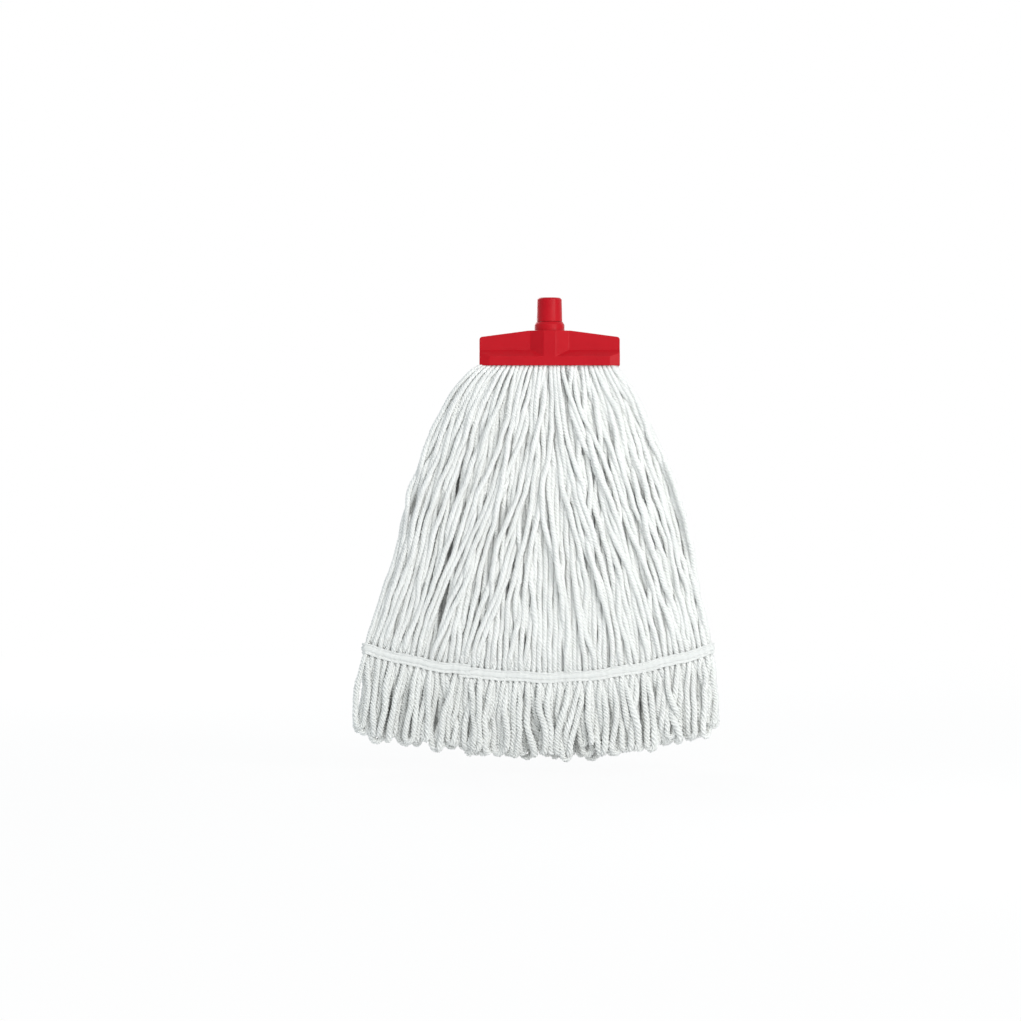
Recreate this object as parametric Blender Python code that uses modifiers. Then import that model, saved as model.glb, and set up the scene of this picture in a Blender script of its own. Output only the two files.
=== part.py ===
"""A string mop head: two moulded shells clamp a sewn headband of looped yarn below a handle spigot.

Metres, +Z up.  The origin is on the spigot's axis, where the spigot meets its collar.  The front
faces -Y, and the yarn hangs down as a fan that a sewn tail band ties together.
"""
import math

import bmesh
import bpy
import numpy as np
from mathutils import Matrix

OBJECT_NAME = "string_mop"

# Clearance between pieces that touch
GAP = 0.0003

# Handle spigot, with the stem and flange that the shells trap
SPIGOT_LENGTH = 0.024
SPIGOT_BASE_RADIUS = 0.01275
SPIGOT_DRAFT = 0.0005
SPIGOT_CHAMFER = 0.0016
SPIGOT_WALL = 0.00375
SPIGOT_SHOULDER = 0.00225
BORE_FLOOR = 0.003
STEM_CATCH = 0.0035
FLANGE_LEDGE = 0.003
FLANGE_THICKNESS = 0.004
FLANGE_FLAT_DEPTH = 0.0017

# Collar and outside of the head
COLLAR_LIP = 0.00045
COLLAR_FLARE = 0.0018
COLLAR_HEIGHT = 0.009
COLLAR_CONE = 0.003
HEAD_HALF_WIDTH = 0.070
HEAD_HEIGHT = 0.035
SHOULDER_DROP = 0.0065
RIDGE_MARGIN = 0.0015
CORNER_RADIUS = 0.003
PANEL_HALF_DEPTH = 0.0095
RIM_HEIGHT = 0.009
RIM_SLOPE = 0.007
RIM_END_FACET = 0.010
RIM_END_CHAMFER = 0.004
BOSS_CHEEK = 0.00575
BOSS_FACE_HALF_WIDTH = 0.006
BOSS_WALL = 0.003
EDGE_ROUND = 0.0005

# Inside of the head
WALL = 0.0025
CRADLE_FLOOR = 0.002
TOOTH_HEIGHT = 0.0012
TOOTH_BASE = 0.0024
TOOTH_PITCH = 0.005
PIN_RADIUS = 0.0018
PIN_SEAT = 0.0015
PIN_END = 0.0145
HEADBAND_END_GAP = 0.001
HEADBAND_HEIGHT = 0.012
TAPE_THICKNESS = 0.0012

# Yarn at the mouth, and the hinge line where it bends
YARN_RADIUS = 0.0028
YARN_GAP = 0.0006
YARN_END_MARGIN = 0.0015
NECK_HALF_DEPTH = 0.0065
STUB_PROUD = 0.001
KNUCKLE_MARGIN = 0.0004
KNUCKLE_RISE = 0.0025

# Fan of strands, with drops measured below the mouth
GROUPS = 7
LEFT_FLARE = 0.029
RIGHT_FLARE = 0.025
LEFT_FLARE_RUN = 0.010
RIGHT_FLARE_RUN = 0.045
LEFT_SPREAD = 0.318
RIGHT_SPREAD = 0.250
FRINGE_SPREAD = 0.10
OUTER_BULGE = 0.006
INNER_BULGE = 0.002
BAND_DROP = 0.311
BAND_RISE = 0.0285
BAND_HEIGHT = 0.010
SLAB_MARGIN = 0.0004
FRINGE_LENGTH = 0.082
FRINGE_RISE = 0.024
FRINGE_FLARE = 0.0035
STRAND_SHARES = (0.0, 0.06, 0.18, 0.42, 0.72, 1.0)
FRINGE_SHARES = (0.35, 1.0)
LOOP_POINTS = 5

# Facets, welds and shading
WELD = 1e-6
SHARP_ANGLE = math.radians(30)
ROUNDED_ANGLE = math.radians(15)
FLAT_ANGLE = math.radians(0.5)
TURNED_STEPS = 40
KNUCKLE_SIDES = 32
PIN_SIDES = 16
CORNER_STEPS = 4
EDGE_STEPS = 2
ROLL_STEPS = 4
ARC_STEPS = 2
GAP_SAMPLES = 40

# Heights and sizes that follow from the values above
SPIGOT_TOP_RADIUS = SPIGOT_BASE_RADIUS - SPIGOT_DRAFT
BORE_RADIUS = SPIGOT_TOP_RADIUS - SPIGOT_WALL
STEM_RADIUS = SPIGOT_BASE_RADIUS - SPIGOT_SHOULDER
STEM_LENGTH = COLLAR_HEIGHT + STEM_CATCH
FLANGE_RADIUS = STEM_RADIUS + FLANGE_LEDGE
FLANGE_HALF_FLAT = FLANGE_RADIUS - FLANGE_FLAT_DEPTH
COLLAR_TOP_RADIUS = SPIGOT_BASE_RADIUS + COLLAR_LIP
COLLAR_RADIUS = COLLAR_TOP_RADIUS + COLLAR_FLARE
BOSS_HALF_WIDTH = FLANGE_RADIUS + BOSS_CHEEK
BOSS_HALF_DEPTH = FLANGE_RADIUS + GAP + BOSS_WALL
RIM_HALF_DEPTH = BOSS_HALF_DEPTH
RIM_END_HALF_DEPTH = RIM_HALF_DEPTH - RIM_END_CHAMFER
RIDGE_HALF_WIDTH = BOSS_HALF_WIDTH + RIDGE_MARGIN
PEAK_Z = -COLLAR_HEIGHT
MOUTH_Z = PEAK_Z - HEAD_HEIGHT
FLANGE_BOTTOM = -STEM_LENGTH - FLANGE_THICKNESS
CRADLE_Z = FLANGE_BOTTOM - GAP - CRADLE_FLOOR
HEADBAND_TOP = CRADLE_Z - GAP
HEADBAND_BOTTOM = HEADBAND_TOP - HEADBAND_HEIGHT
HEADBAND_HALF_DEPTH = PANEL_HALF_DEPTH - WALL - TOOTH_HEIGHT - GAP
HEADBAND_HALF_WIDTH = HEAD_HALF_WIDTH - WALL - HEADBAND_END_GAP
TOOTH_ROOM = HEADBAND_TOP - (MOUTH_Z + RIM_HEIGHT + RIM_SLOPE) - 1.5 * TOOTH_BASE
TOOTH_ROWS = int(TOOTH_ROOM // TOOTH_PITCH) + 1
OUTER_PIN = HEADBAND_HALF_WIDTH - PIN_END
PIN_PLACES = (-OUTER_PIN, -OUTER_PIN / 2, OUTER_PIN / 2, OUTER_PIN)
PIN_Z = HEADBAND_TOP - HEADBAND_HEIGHT / 2 + TOOTH_BASE / 4
YARN_HALF_WIDTH = HEADBAND_HALF_WIDTH - YARN_END_MARGIN
LAYER_PITCH = 2 * YARN_RADIUS + YARN_GAP
STRANDS_IN_GROUP = 2 * int((4 * YARN_HALF_WIDTH / LAYER_PITCH + 1) / (2 * GROUPS))
STRANDS = GROUPS * STRANDS_IN_GROUP
FRINGE_DROP = BAND_DROP + FRINGE_LENGTH
OUTER_OFFSET = 1.5 * LAYER_PITCH
INNER_OFFSET = 0.5 * LAYER_PITCH
KNUCKLE_RADIUS = OUTER_OFFSET + YARN_RADIUS + KNUCKLE_MARGIN
HINGE_DROP = KNUCKLE_RADIUS - KNUCKLE_RISE
HINGE_Z = MOUTH_Z - HINGE_DROP
ROLL_RADIUS = KNUCKLE_RADIUS * math.cos(math.pi / KNUCKLE_SIDES) - GAP
SLAB_HALF_DEPTH = YARN_RADIUS + SLAB_MARGIN
SHEET_OFFSET = SLAB_HALF_DEPTH + GAP / 2
TAIL_TAPE_OFFSET = SHEET_OFFSET + SLAB_HALF_DEPTH + GAP + TAPE_THICKNESS / 2

# Drawing planes, whose first two axes hold an outline and whose third is its thickness
FRONT_PLANE = Matrix(((1, 0, 0, 0), (0, 0, -1, 0), (0, 1, 0, 0), (0, 0, 0, 1)))
SIDE_PLANE = Matrix(((0, 0, 1, 0), (1, 0, 0, 0), (0, 1, 0, 0), (0, 0, 0, 1)))
PLAN_PLANE = Matrix.Identity(4)


def clear_scene():
    for obj in list(bpy.data.objects):
        bpy.data.objects.remove(obj, do_unlink=True)


def new_collection(name):
    collection = bpy.data.collections.new(name)
    bpy.context.scene.collection.children.link(collection)
    return collection


def principled(name, colour, roughness, metallic=0.0):
    material = bpy.data.materials.new(name)
    material.use_nodes = True
    shader = material.node_tree.nodes["Principled BSDF"]
    shader.inputs["Base Color"].default_value = (*colour, 1.0)
    shader.inputs["Roughness"].default_value = roughness
    shader.inputs["Metallic"].default_value = metallic
    return material


def as_helper(obj):
    """Cutters and joined shapes stay in the file as hidden wires."""
    obj.hide_render = True
    obj.display_type = "WIRE"
    return obj


def add_boolean(obj, operation, other):
    modifier = obj.modifiers.new(operation.lower(), "BOOLEAN")
    modifier.operation = operation
    modifier.solver = "EXACT"
    modifier.object = other
    return obj


class Workshop:
    """Makes mesh objects in the helper collection, and hands finished pieces to the object's own."""

    def __init__(self):
        self.parts = new_collection(OBJECT_NAME)
        self.helpers = new_collection(OBJECT_NAME + "_cutters")

    def helper(self, name, mesh):
        obj = bpy.data.objects.new(name, mesh)
        self.helpers.objects.link(obj)
        return as_helper(obj)

    def piece(self, obj, name, material, parent):
        """Turns a helper into a visible piece under the empty of the body that it belongs to."""
        self.helpers.objects.unlink(obj)
        self.parts.objects.link(obj)
        obj.name = name
        obj.hide_render = False
        obj.display_type = "TEXTURED"
        obj.data.materials.clear()
        obj.data.materials.append(material)
        obj.data.shade_smooth()
        obj.data.set_sharp_from_angle(angle=SHARP_ANGLE)
        obj.parent = parent
        obj.matrix_parent_inverse = Matrix.Translation(parent.location).inverted()
        return obj

    def empty(self, name, place):
        obj = bpy.data.objects.new(name, None)
        obj.location = place
        self.parts.objects.link(obj)
        return obj

    def from_curve(self, name, curve, matrix):
        """A curve as a closed mesh with its caps welded, because only meshes can be cut."""
        source = bpy.data.objects.new(name + "_curve", curve)
        self.helpers.objects.link(source)
        source.matrix_world = matrix
        graph = bpy.context.evaluated_depsgraph_get()
        mesh = bpy.data.meshes.new_from_object(source.evaluated_get(graph))
        mesh.transform(matrix)
        bpy.data.objects.remove(source, do_unlink=True)
        body = bmesh.new()
        body.from_mesh(mesh)
        bmesh.ops.remove_doubles(body, verts=body.verts, dist=WELD)
        bmesh.ops.recalc_face_normals(body, faces=body.faces)
        body.to_mesh(mesh)
        body.free()
        return self.helper(name, mesh)

    def outline(self, name, points, half_depth, plane, centre=0.0):
        """A flat outline on a drawing plane, thickened by half_depth to both sides of centre."""
        curve = bpy.data.curves.new(name, "CURVE")
        curve.dimensions = "2D"
        curve.fill_mode = "BOTH"
        curve.extrude = half_depth
        spline = curve.splines.new("POLY")
        spline.points.add(len(points) - 1)
        for point, (across, up) in zip(spline.points, points):
            point.co = (across, up, 0.0, 1.0)
        spline.use_cyclic_u = True
        return self.from_curve(name, curve, plane @ Matrix.Translation((0, 0, centre)))

    def tubes(self, name, paths, radius):
        """Four-sided strands along paths, with closed ends."""
        curve = bpy.data.curves.new(name, "CURVE")
        curve.dimensions = "3D"
        curve.bevel_depth = radius
        curve.bevel_resolution = 0
        curve.use_fill_caps = True
        for path in paths:
            spline = curve.splines.new("POLY")
            spline.points.add(len(path) - 1)
            for point, place in zip(spline.points, path):
                point.co = (*place, 1.0)
        return self.from_curve(name, curve, Matrix.Identity(4))

    def cylinder(self, name, radius, length, sides, matrix):
        """A capped cylinder along its own Z, placed by matrix."""
        body = bmesh.new()
        bmesh.ops.create_cone(
            body, cap_ends=True, segments=sides, radius1=radius, radius2=radius, depth=length, matrix=matrix
        )
        mesh = bpy.data.meshes.new(name)
        body.to_mesh(mesh)
        body.free()
        return self.helper(name, mesh)

    def turned(self, name, profile, start=0.0):
        """A profile of (radius, height) points, from the top down its outer side, turned about Z.

        The profile stands at the angle start, so that a cutter's facets needn't line up with those
        of the shape that it cuts.
        """
        mesh = bpy.data.meshes.new(name)
        along, aside = math.cos(start), math.sin(start)
        points = [(radius * along, radius * aside, height) for radius, height in profile]
        mesh.from_pydata(points, [(n, n + 1) for n in range(len(points) - 1)], [])
        obj = self.helper(name, mesh)
        screw = obj.modifiers.new("turn", "SCREW")
        screw.steps = TURNED_STEPS
        screw.render_steps = TURNED_STEPS
        screw.use_merge_vertices = True
        screw.merge_threshold = WELD
        return obj


def rounded_corner(corner, start, end, radius):
    """Arc points that round the corner between the edges towards start and end."""
    (cx, cy), (sx, sy), (ex, ey) = corner, start, end
    first = math.atan2(sy - cy, sx - cx)
    last = math.atan2(ey - cy, ex - cx)
    half = ((last - first + math.pi) % (2 * math.pi) - math.pi) / 2
    reach = radius / abs(math.tan(half))
    middle = first + half
    distance = math.hypot(radius, reach)
    centre = (cx + distance * math.cos(middle), cy + distance * math.sin(middle))
    side = math.copysign(math.pi / 2, half)
    begin = first - side
    sweep = math.copysign(math.pi, half) - 2 * half
    angles = [begin - sweep * step / CORNER_STEPS for step in range(CORNER_STEPS + 1)]
    return [(centre[0] + radius * math.cos(a), centre[1] + radius * math.sin(a)) for a in angles]


def mirrored(points):
    """A right-hand outline, from top to bottom, closed by its mirror image on the left."""
    return points + [(-across, up) for across, up in reversed(points) if across > 0]


def plate_outline(inset):
    """The head seen from the front: a flat ridge, and a roof that slopes to rounded shoulders."""
    ridge = (RIDGE_HALF_WIDTH, PEAK_Z - inset)
    shoulder = (HEAD_HALF_WIDTH - inset, PEAK_Z - SHOULDER_DROP - inset)
    foot = (HEAD_HALF_WIDTH - inset, MOUTH_Z + RIM_HEIGHT / 2)
    corner = rounded_corner(shoulder, ridge, foot, CORNER_RADIUS)
    return mirrored([ridge] + corner + [foot])


def rim_profile(inset):
    """The rim seen from the end: an upright band at the mouth with a slope up to the panels."""
    slope_angle = math.atan2(RIM_HALF_DEPTH - PANEL_HALF_DEPTH, RIM_SLOPE)
    shift = inset * math.tan(slope_angle / 2)
    bend = MOUTH_Z + RIM_HEIGHT - shift
    depth = RIM_HALF_DEPTH - inset
    return mirrored([(PANEL_HALF_DEPTH - inset, bend + RIM_SLOPE), (depth, bend), (depth, MOUTH_Z - inset)])


def rim_plan(inset):
    """The rim seen from above: a long band with a slanted facet at each corner."""
    face = HEAD_HALF_WIDTH - RIM_END_FACET - inset
    end = HEAD_HALF_WIDTH - inset
    right = [(face, RIM_HALF_DEPTH - inset), (end, RIM_END_HALF_DEPTH - inset)]
    return mirrored(right + [(across, -deep) for across, deep in reversed(right)])


def boss_plan(inset):
    """The boss below the collar, seen from above: a flat front and back with slanted cheeks."""
    right = [
        (BOSS_FACE_HALF_WIDTH, BOSS_HALF_DEPTH - inset),
        (BOSS_HALF_WIDTH - inset, PANEL_HALF_DEPTH - inset),
    ]
    return mirrored(right + [(across, -deep) for across, deep in reversed(right)])


def boss_prism(shop, name, inset, bottom, top):
    return shop.outline(name, boss_plan(inset), (top - bottom) / 2, PLAN_PLANE, (top + bottom) / 2)


def head_form(shop, name, inset):
    """The head's outside, or with an inset the hollow that leaves a wall of that thickness."""
    form = shop.outline(name, plate_outline(inset), PANEL_HALF_DEPTH - inset, FRONT_PLANE)
    rim = shop.outline(name + "_rim", rim_profile(inset), HEAD_HALF_WIDTH, SIDE_PLANE)
    plan = shop.outline(name + "_rim_plan", rim_plan(inset), HEAD_HEIGHT, PLAN_PLANE, MOUTH_Z)
    add_boolean(form, "UNION", add_boolean(rim, "INTERSECT", plan))
    boss = boss_prism(shop, name + "_boss", inset, MOUTH_Z + RIM_HEIGHT / 3, PEAK_Z - inset)
    return add_boolean(form, "UNION", boss)


def stem_profile(clearance):
    """Stem and flange of the spigot, which also cut the seat in the shells when given a clearance."""
    return [
        (STEM_RADIUS + clearance, -STEM_LENGTH + clearance),
        (FLANGE_RADIUS + clearance, -STEM_LENGTH + clearance),
        (FLANGE_RADIUS + clearance, FLANGE_BOTTOM - clearance),
        (0.0, FLANGE_BOTTOM - clearance),
    ]


def cut_flats(shop, obj, name, clearance):
    """Two flats on the flange keep the spigot from turning in the head."""
    outer = FLANGE_RADIUS + 2 * GAP
    inner = FLANGE_HALF_FLAT + clearance
    half_depth = FLANGE_RADIUS + GAP
    for side in (-1, 1):
        corners = [(side * x, z) for x in (inner, outer) for z in (CRADLE_Z, -STEM_LENGTH + 2 * GAP)]
        flat = [corners[0], corners[1], corners[3], corners[2]]
        add_boolean(obj, "DIFFERENCE", shop.outline(f"{name}_flat", flat, half_depth, FRONT_PLANE))
    return obj


def make_spigot(shop, material, body):
    """A hollow tube with a chamfered lip, on a solid stem with a flange."""
    profile = [
        (0.0, BORE_FLOOR),
        (BORE_RADIUS, BORE_FLOOR),
        (BORE_RADIUS, SPIGOT_LENGTH),
        (SPIGOT_TOP_RADIUS - SPIGOT_CHAMFER, SPIGOT_LENGTH),
        (SPIGOT_TOP_RADIUS, SPIGOT_LENGTH - SPIGOT_CHAMFER),
        (SPIGOT_BASE_RADIUS, GAP),
        (STEM_RADIUS, GAP),
    ]
    spigot = shop.turned("spigot", profile + stem_profile(0.0))
    cut_flats(shop, spigot, "spigot", 0.0)
    return shop.piece(spigot, "handle_spigot", material, body)


def head_blank(shop, name):
    """Both shells as one: outside, hollow, spigot cradle, headband teeth and pin seats."""
    blank = head_form(shop, name, 0.0)
    collar = [
        (0.0, 0.0),
        (COLLAR_TOP_RADIUS, 0.0),
        (COLLAR_RADIUS, -COLLAR_CONE),
        (COLLAR_RADIUS, PEAK_Z - WALL / 2),
        (0.0, PEAK_Z - WALL / 2),
    ]
    add_boolean(blank, "UNION", shop.turned(name + "_collar", collar))
    joining = blank.modifiers.new("flat_faces", "DECIMATE")
    joining.decimate_type = "DISSOLVE"
    joining.angle_limit = FLAT_ANGLE
    rounding = blank.modifiers.new("edges", "BEVEL")
    rounding.width = EDGE_ROUND
    rounding.segments = EDGE_STEPS
    rounding.limit_method = "ANGLE"
    rounding.angle_limit = ROUNDED_ANGLE
    add_boolean(blank, "DIFFERENCE", head_form(shop, name + "_hollow", WALL))
    add_boolean(blank, "UNION", boss_prism(shop, name + "_cradle", WALL / 2, CRADLE_Z, PEAK_Z - WALL / 2))
    add_teeth(shop, blank, name)
    above = [(0.0, GAP), (STEM_RADIUS + GAP, GAP)]
    seat = shop.turned(name + "_seat", above + stem_profile(GAP), math.pi / TURNED_STEPS)
    add_boolean(blank, "DIFFERENCE", cut_flats(shop, seat, name + "_seat", GAP))
    for place in PIN_PLACES:
        add_boolean(blank, "DIFFERENCE", pin_shape(shop, name + "_pin_seat", place, GAP))
    return blank


def add_teeth(shop, blank, name):
    """Ridges inside both side panels bite into the headband."""
    wall = PANEL_HALF_DEPTH - WALL
    inner = BOSS_HALF_WIDTH + WALL
    outer = HEAD_HALF_WIDTH - WALL / 2
    for row in range(TOOTH_ROWS):
        middle = HEADBAND_TOP - TOOTH_BASE - row * TOOTH_PITCH
        ridge = [
            (wall + WALL / 2, middle + TOOTH_BASE / 2),
            (wall, middle + TOOTH_BASE / 2),
            (wall - TOOTH_HEIGHT, middle),
            (wall, middle - TOOTH_BASE / 2),
            (wall + WALL / 2, middle - TOOTH_BASE / 2),
        ]
        for face in (-1, 1):
            outline = [(face * deep, up) for deep, up in ridge]
            for side in (-1, 1):
                centre = side * (inner + outer) / 2
                tooth = shop.outline(name + "_tooth", outline, (outer - inner) / 2, SIDE_PLANE, centre)
                add_boolean(blank, "UNION", tooth)


def make_shell(shop, name, facing, material, body):
    """Half of the blank, on the side of the parting plane that facing points to."""
    blank = head_blank(shop, name)
    far = 2 * BOSS_HALF_DEPTH
    half = [(facing * GAP / 2, 2 * MOUTH_Z), (facing * far, 2 * MOUTH_Z), (facing * far, -MOUTH_Z)]
    half.append((facing * GAP / 2, -MOUTH_Z))
    room = shop.outline(name + "_half", half, 2 * HEAD_HALF_WIDTH, SIDE_PLANE)
    return shop.piece(add_boolean(blank, "INTERSECT", room), name, material, body)


def pin_shape(shop, name, place, clearance):
    """A dowel from front to back through the headband, seated in both panels."""
    length = 2 * (PANEL_HALF_DEPTH - WALL + PIN_SEAT - GAP + clearance)
    turn = Matrix.Translation((place, 0.0, PIN_Z)) @ Matrix.Rotation(math.pi / 2, 4, "X")
    return shop.cylinder(name, PIN_RADIUS + clearance, length, PIN_SIDES, turn)


def make_pins(shop, material, body):
    for number, place in enumerate(PIN_PLACES, 1):
        pin = pin_shape(shop, "pin", place, 0.0)
        shop.piece(pin, f"headband_pin_{number}", material, body)


def drill_for_pins(shop, obj, name):
    for place in PIN_PLACES:
        add_boolean(obj, "DIFFERENCE", pin_shape(shop, name + "_pin_hole", place, GAP))
    return obj


def make_headband(shop, material, body):
    """Canvas folded over the top of the yarn and pinned through."""
    outside = HEADBAND_HALF_DEPTH
    inside = outside - TAPE_THICKNESS
    fold = HEADBAND_TOP - TAPE_THICKNESS
    profile = [
        (outside, HEADBAND_TOP),
        (outside, HEADBAND_BOTTOM),
        (inside, HEADBAND_BOTTOM),
        (inside, fold),
    ]
    tape = shop.outline("tape", mirrored(profile), HEADBAND_HALF_WIDTH, SIDE_PLANE)
    return shop.piece(drill_for_pins(shop, tape, "tape"), "headband_tape", material, body)


def strand_place(number, facing):
    """Where a strand stands across the fan, about -1 at the left to 1 at the right.

    The two sheets are half a step apart, so that each shows in the other's gaps.
    """
    return 2 * (number + facing / 4) / (STRANDS - 1) - 1


def strand_x(place, drop):
    """A strand flares at the mouth, most at the ends, fans out evenly, and straightens in the fringe."""
    if place < 0:
        most, run, spread = LEFT_FLARE, LEFT_FLARE_RUN, LEFT_SPREAD
    else:
        most, run, spread = RIGHT_FLARE, RIGHT_FLARE_RUN, RIGHT_SPREAD
    fan = min(drop, band_drop(place))
    flare = most * abs(place) * (1 - math.exp(-fan / run))
    return place * (YARN_HALF_WIDTH + flare + spread * fan + FRINGE_SPREAD * (drop - fan))


def band_drop(place):
    return BAND_DROP - BAND_RISE * place ** 2


def fringe_drop(place):
    return FRINGE_DROP - FRINGE_RISE * place ** 2


def strand_depth(number, share):
    """Two staggered layers at the mouth swell and then settle into one layer at the tail band."""
    outer = number % 2 == 0
    offset = OUTER_OFFSET if outer else INNER_OFFSET
    bulge = OUTER_BULGE if outer else INNER_BULGE
    return offset + (SHEET_OFFSET - offset) * share ** 2 + bulge * math.sin(math.pi * share)


def strand_path(number, facing, shares):
    """Points down a strand from the hinge line to the tail band, and on into the fringe."""
    place = strand_place(number, facing)
    band, fringe = band_drop(place), fringe_drop(place)
    points = []
    for share in shares:
        drop = HINGE_DROP + (band - HINGE_DROP) * share
        points.append((strand_x(place, drop), facing * strand_depth(number, share), MOUTH_Z - drop))
    for share in FRINGE_SHARES:
        drop = band + (fringe - YARN_RADIUS - loop_radius(number, facing) - band) * share
        depth = SHEET_OFFSET + FRINGE_FLARE * math.sin(share * math.pi / 2)
        points.append((strand_x(place, drop), facing * depth, MOUTH_Z - drop))
    return points


def loop_radius(number, facing):
    """Half the way between the two strands that one loop of yarn joins at the fringe."""
    first = number - number % 2
    left, right = strand_place(first, facing), strand_place(first + 1, facing)
    return (strand_x(right, fringe_drop(right)) - strand_x(left, fringe_drop(left))) / 2


def looped_path(number, facing, shares):
    """One length of yarn: down a strand, round its loop and up the next strand."""
    down = strand_path(number, facing, shares)
    up = strand_path(number + 1, facing, shares)[::-1]
    (left, depth, low), (right, _, high) = down[-1], up[0]
    centre, radius = (left + right) / 2, (right - left) / 2
    turn = []
    for step in range(1, LOOP_POINTS - 1):
        angle = math.pi * step / (LOOP_POINTS - 1)
        level = low + (high - low) * step / (LOOP_POINTS - 1)
        turn.append((centre - radius * math.cos(angle), depth, level - radius * math.sin(angle)))
    return down + turn + up


def band_outline(first, last, half_height):
    """A length of the tail band's arc between two places across the fan."""
    places = [first + (last - first) * step / ARC_STEPS for step in range(ARC_STEPS + 1)]
    arc = [(strand_x(place, band_drop(place)), MOUTH_Z - band_drop(place)) for place in places]
    top = [(across, up + half_height) for across, up in arc]
    bottom = [(across, up - half_height) for across, up in arc]
    return top + bottom[::-1]


def root_profile():
    """The clamped yarn seen from the end: a thin head in the tape, a neck, and a round foot."""
    inside = HEADBAND_HALF_DEPTH - TAPE_THICKNESS - GAP
    profile = [
        (inside, HEADBAND_TOP - TAPE_THICKNESS - GAP),
        (inside, HEADBAND_BOTTOM),
        (NECK_HALF_DEPTH, MOUTH_Z),
    ]
    widest = math.asin(NECK_HALF_DEPTH / ROLL_RADIUS)
    for step in range(ROLL_STEPS):
        angle = widest * (1 - step / ROLL_STEPS)
        profile.append((ROLL_RADIUS * math.sin(angle), HINGE_Z - ROLL_RADIUS * math.cos(angle)))
    return mirrored(profile + [(0.0, HINGE_Z - ROLL_RADIUS)])


def make_yarn_root(shop, material, body):
    """The clamped end of the yarn, with the stubs of its outer strands as far as the hinge line."""
    heights = (HEADBAND_TOP, MOUTH_Z, HINGE_Z, HINGE_Z - KNUCKLE_RADIUS)
    right = [(strand_x(1, max(MOUTH_Z - up, 0.0)), up) for up in heights]
    left = [(strand_x(-1, max(MOUTH_Z - up, 0.0)), up) for up in heights[::-1]]
    root = shop.outline("root", root_profile(), 2 * HEAD_HALF_WIDTH, SIDE_PLANE)
    add_boolean(root, "INTERSECT", shop.outline("root_front", right + left, KNUCKLE_RADIUS, FRONT_PLANE))
    stub_depth = NECK_HALF_DEPTH + STUB_PROUD
    reach = math.sqrt(ROLL_RADIUS ** 2 - (stub_depth + YARN_RADIUS) ** 2)
    stubs = []
    heights = (HINGE_Z + reach, HINGE_Z, HINGE_Z - reach)
    for facing in (-1, 1):
        depth = facing * stub_depth
        for number in range(0, STRANDS, 2):
            place = strand_place(number, facing)
            stubs.append([(strand_x(place, MOUTH_Z - up), depth, up) for up in heights])
    add_boolean(root, "UNION", shop.tubes("root_stubs", stubs, YARN_RADIUS))
    return shop.piece(drill_for_pins(shop, root, "root"), "yarn_root", material, body)


def knuckle(shop, name, radius):
    """A round bar along the hinge line."""
    turn = Matrix.Translation((0.0, 0.0, HINGE_Z)) @ Matrix.Rotation(math.pi / 2, 4, "Y")
    return shop.cylinder(name, radius, 4 * HEAD_HALF_WIDTH, KNUCKLE_SIDES, turn)


def make_strands(shop, sheet, facing, material, body):
    """Seven groups of looped strands, each sewn into its length of the tail band."""
    bend = knuckle(shop, sheet + "_knuckle", KNUCKLE_RADIUS)
    half_step = 1 / (STRANDS - 1)
    trim = half_step * GAP / YARN_RADIUS
    for group in range(GROUPS):
        first = group * STRANDS_IN_GROUP
        last = first + STRANDS_IN_GROUP - 1
        start = strand_place(first, facing) - half_step + trim
        end = strand_place(last, facing) + half_step - trim
        outline = band_outline(start, end, BAND_HEIGHT / 2)
        slab = shop.outline(sheet + "_slab", outline, SLAB_HALF_DEPTH, FRONT_PLANE, -facing * SHEET_OFFSET)
        paths = [looped_path(n, facing, STRAND_SHARES) for n in range(first, last, 2)]
        add_boolean(slab, "UNION", shop.tubes(sheet + "_yarn", paths, YARN_RADIUS))
        add_boolean(slab, "DIFFERENCE", bend)
        shop.piece(slab, f"{sheet}_strings_{group + 1}", material, body)


def make_tail_tape(shop, sheet, facing, material, body):
    """A narrow tape along the tail band, sewn to its side of the yarn."""
    half_step = 1 / (STRANDS - 1)
    places = [2 * group / GROUPS - 1 for group in range(GROUPS + 1)]
    places[0] -= half_step
    places[-1] += half_step
    sections = [band_outline(a, b, BAND_HEIGHT / 2) for a, b in zip(places, places[1:])]
    top = [point for section in sections for point in section[:ARC_STEPS]]
    bottom = [point for section in sections for point in section[:ARC_STEPS + 1:-1]]
    top.append(sections[-1][ARC_STEPS])
    bottom.append(sections[-1][ARC_STEPS + 1])
    centre = -facing * TAIL_TAPE_OFFSET
    tape = shop.outline(sheet + "_tape", top + bottom[::-1], TAPE_THICKNESS / 2, FRONT_PLANE, centre)
    return shop.piece(tape, f"tail_band_{sheet}", material, body)


def print_least_gap():
    """The least way between two strands, measured between points on their middle lines."""
    shares = [step / GAP_SAMPLES for step in range(GAP_SAMPLES + 1)]
    paths = [strand_path(n, facing, shares) for facing in (-1, 1) for n in range(STRANDS)]
    points = np.array(paths)
    least = math.inf
    for number, path in enumerate(points[:-1]):
        others = points[number + 1:].reshape(-1, 3)
        ways = np.linalg.norm(path[:, None] - others[None], axis=2)
        least = min(least, float(ways.min()))
    print(f"least gap between strands {1000 * (least - 2 * YARN_RADIUS):.2f} mm")


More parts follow.
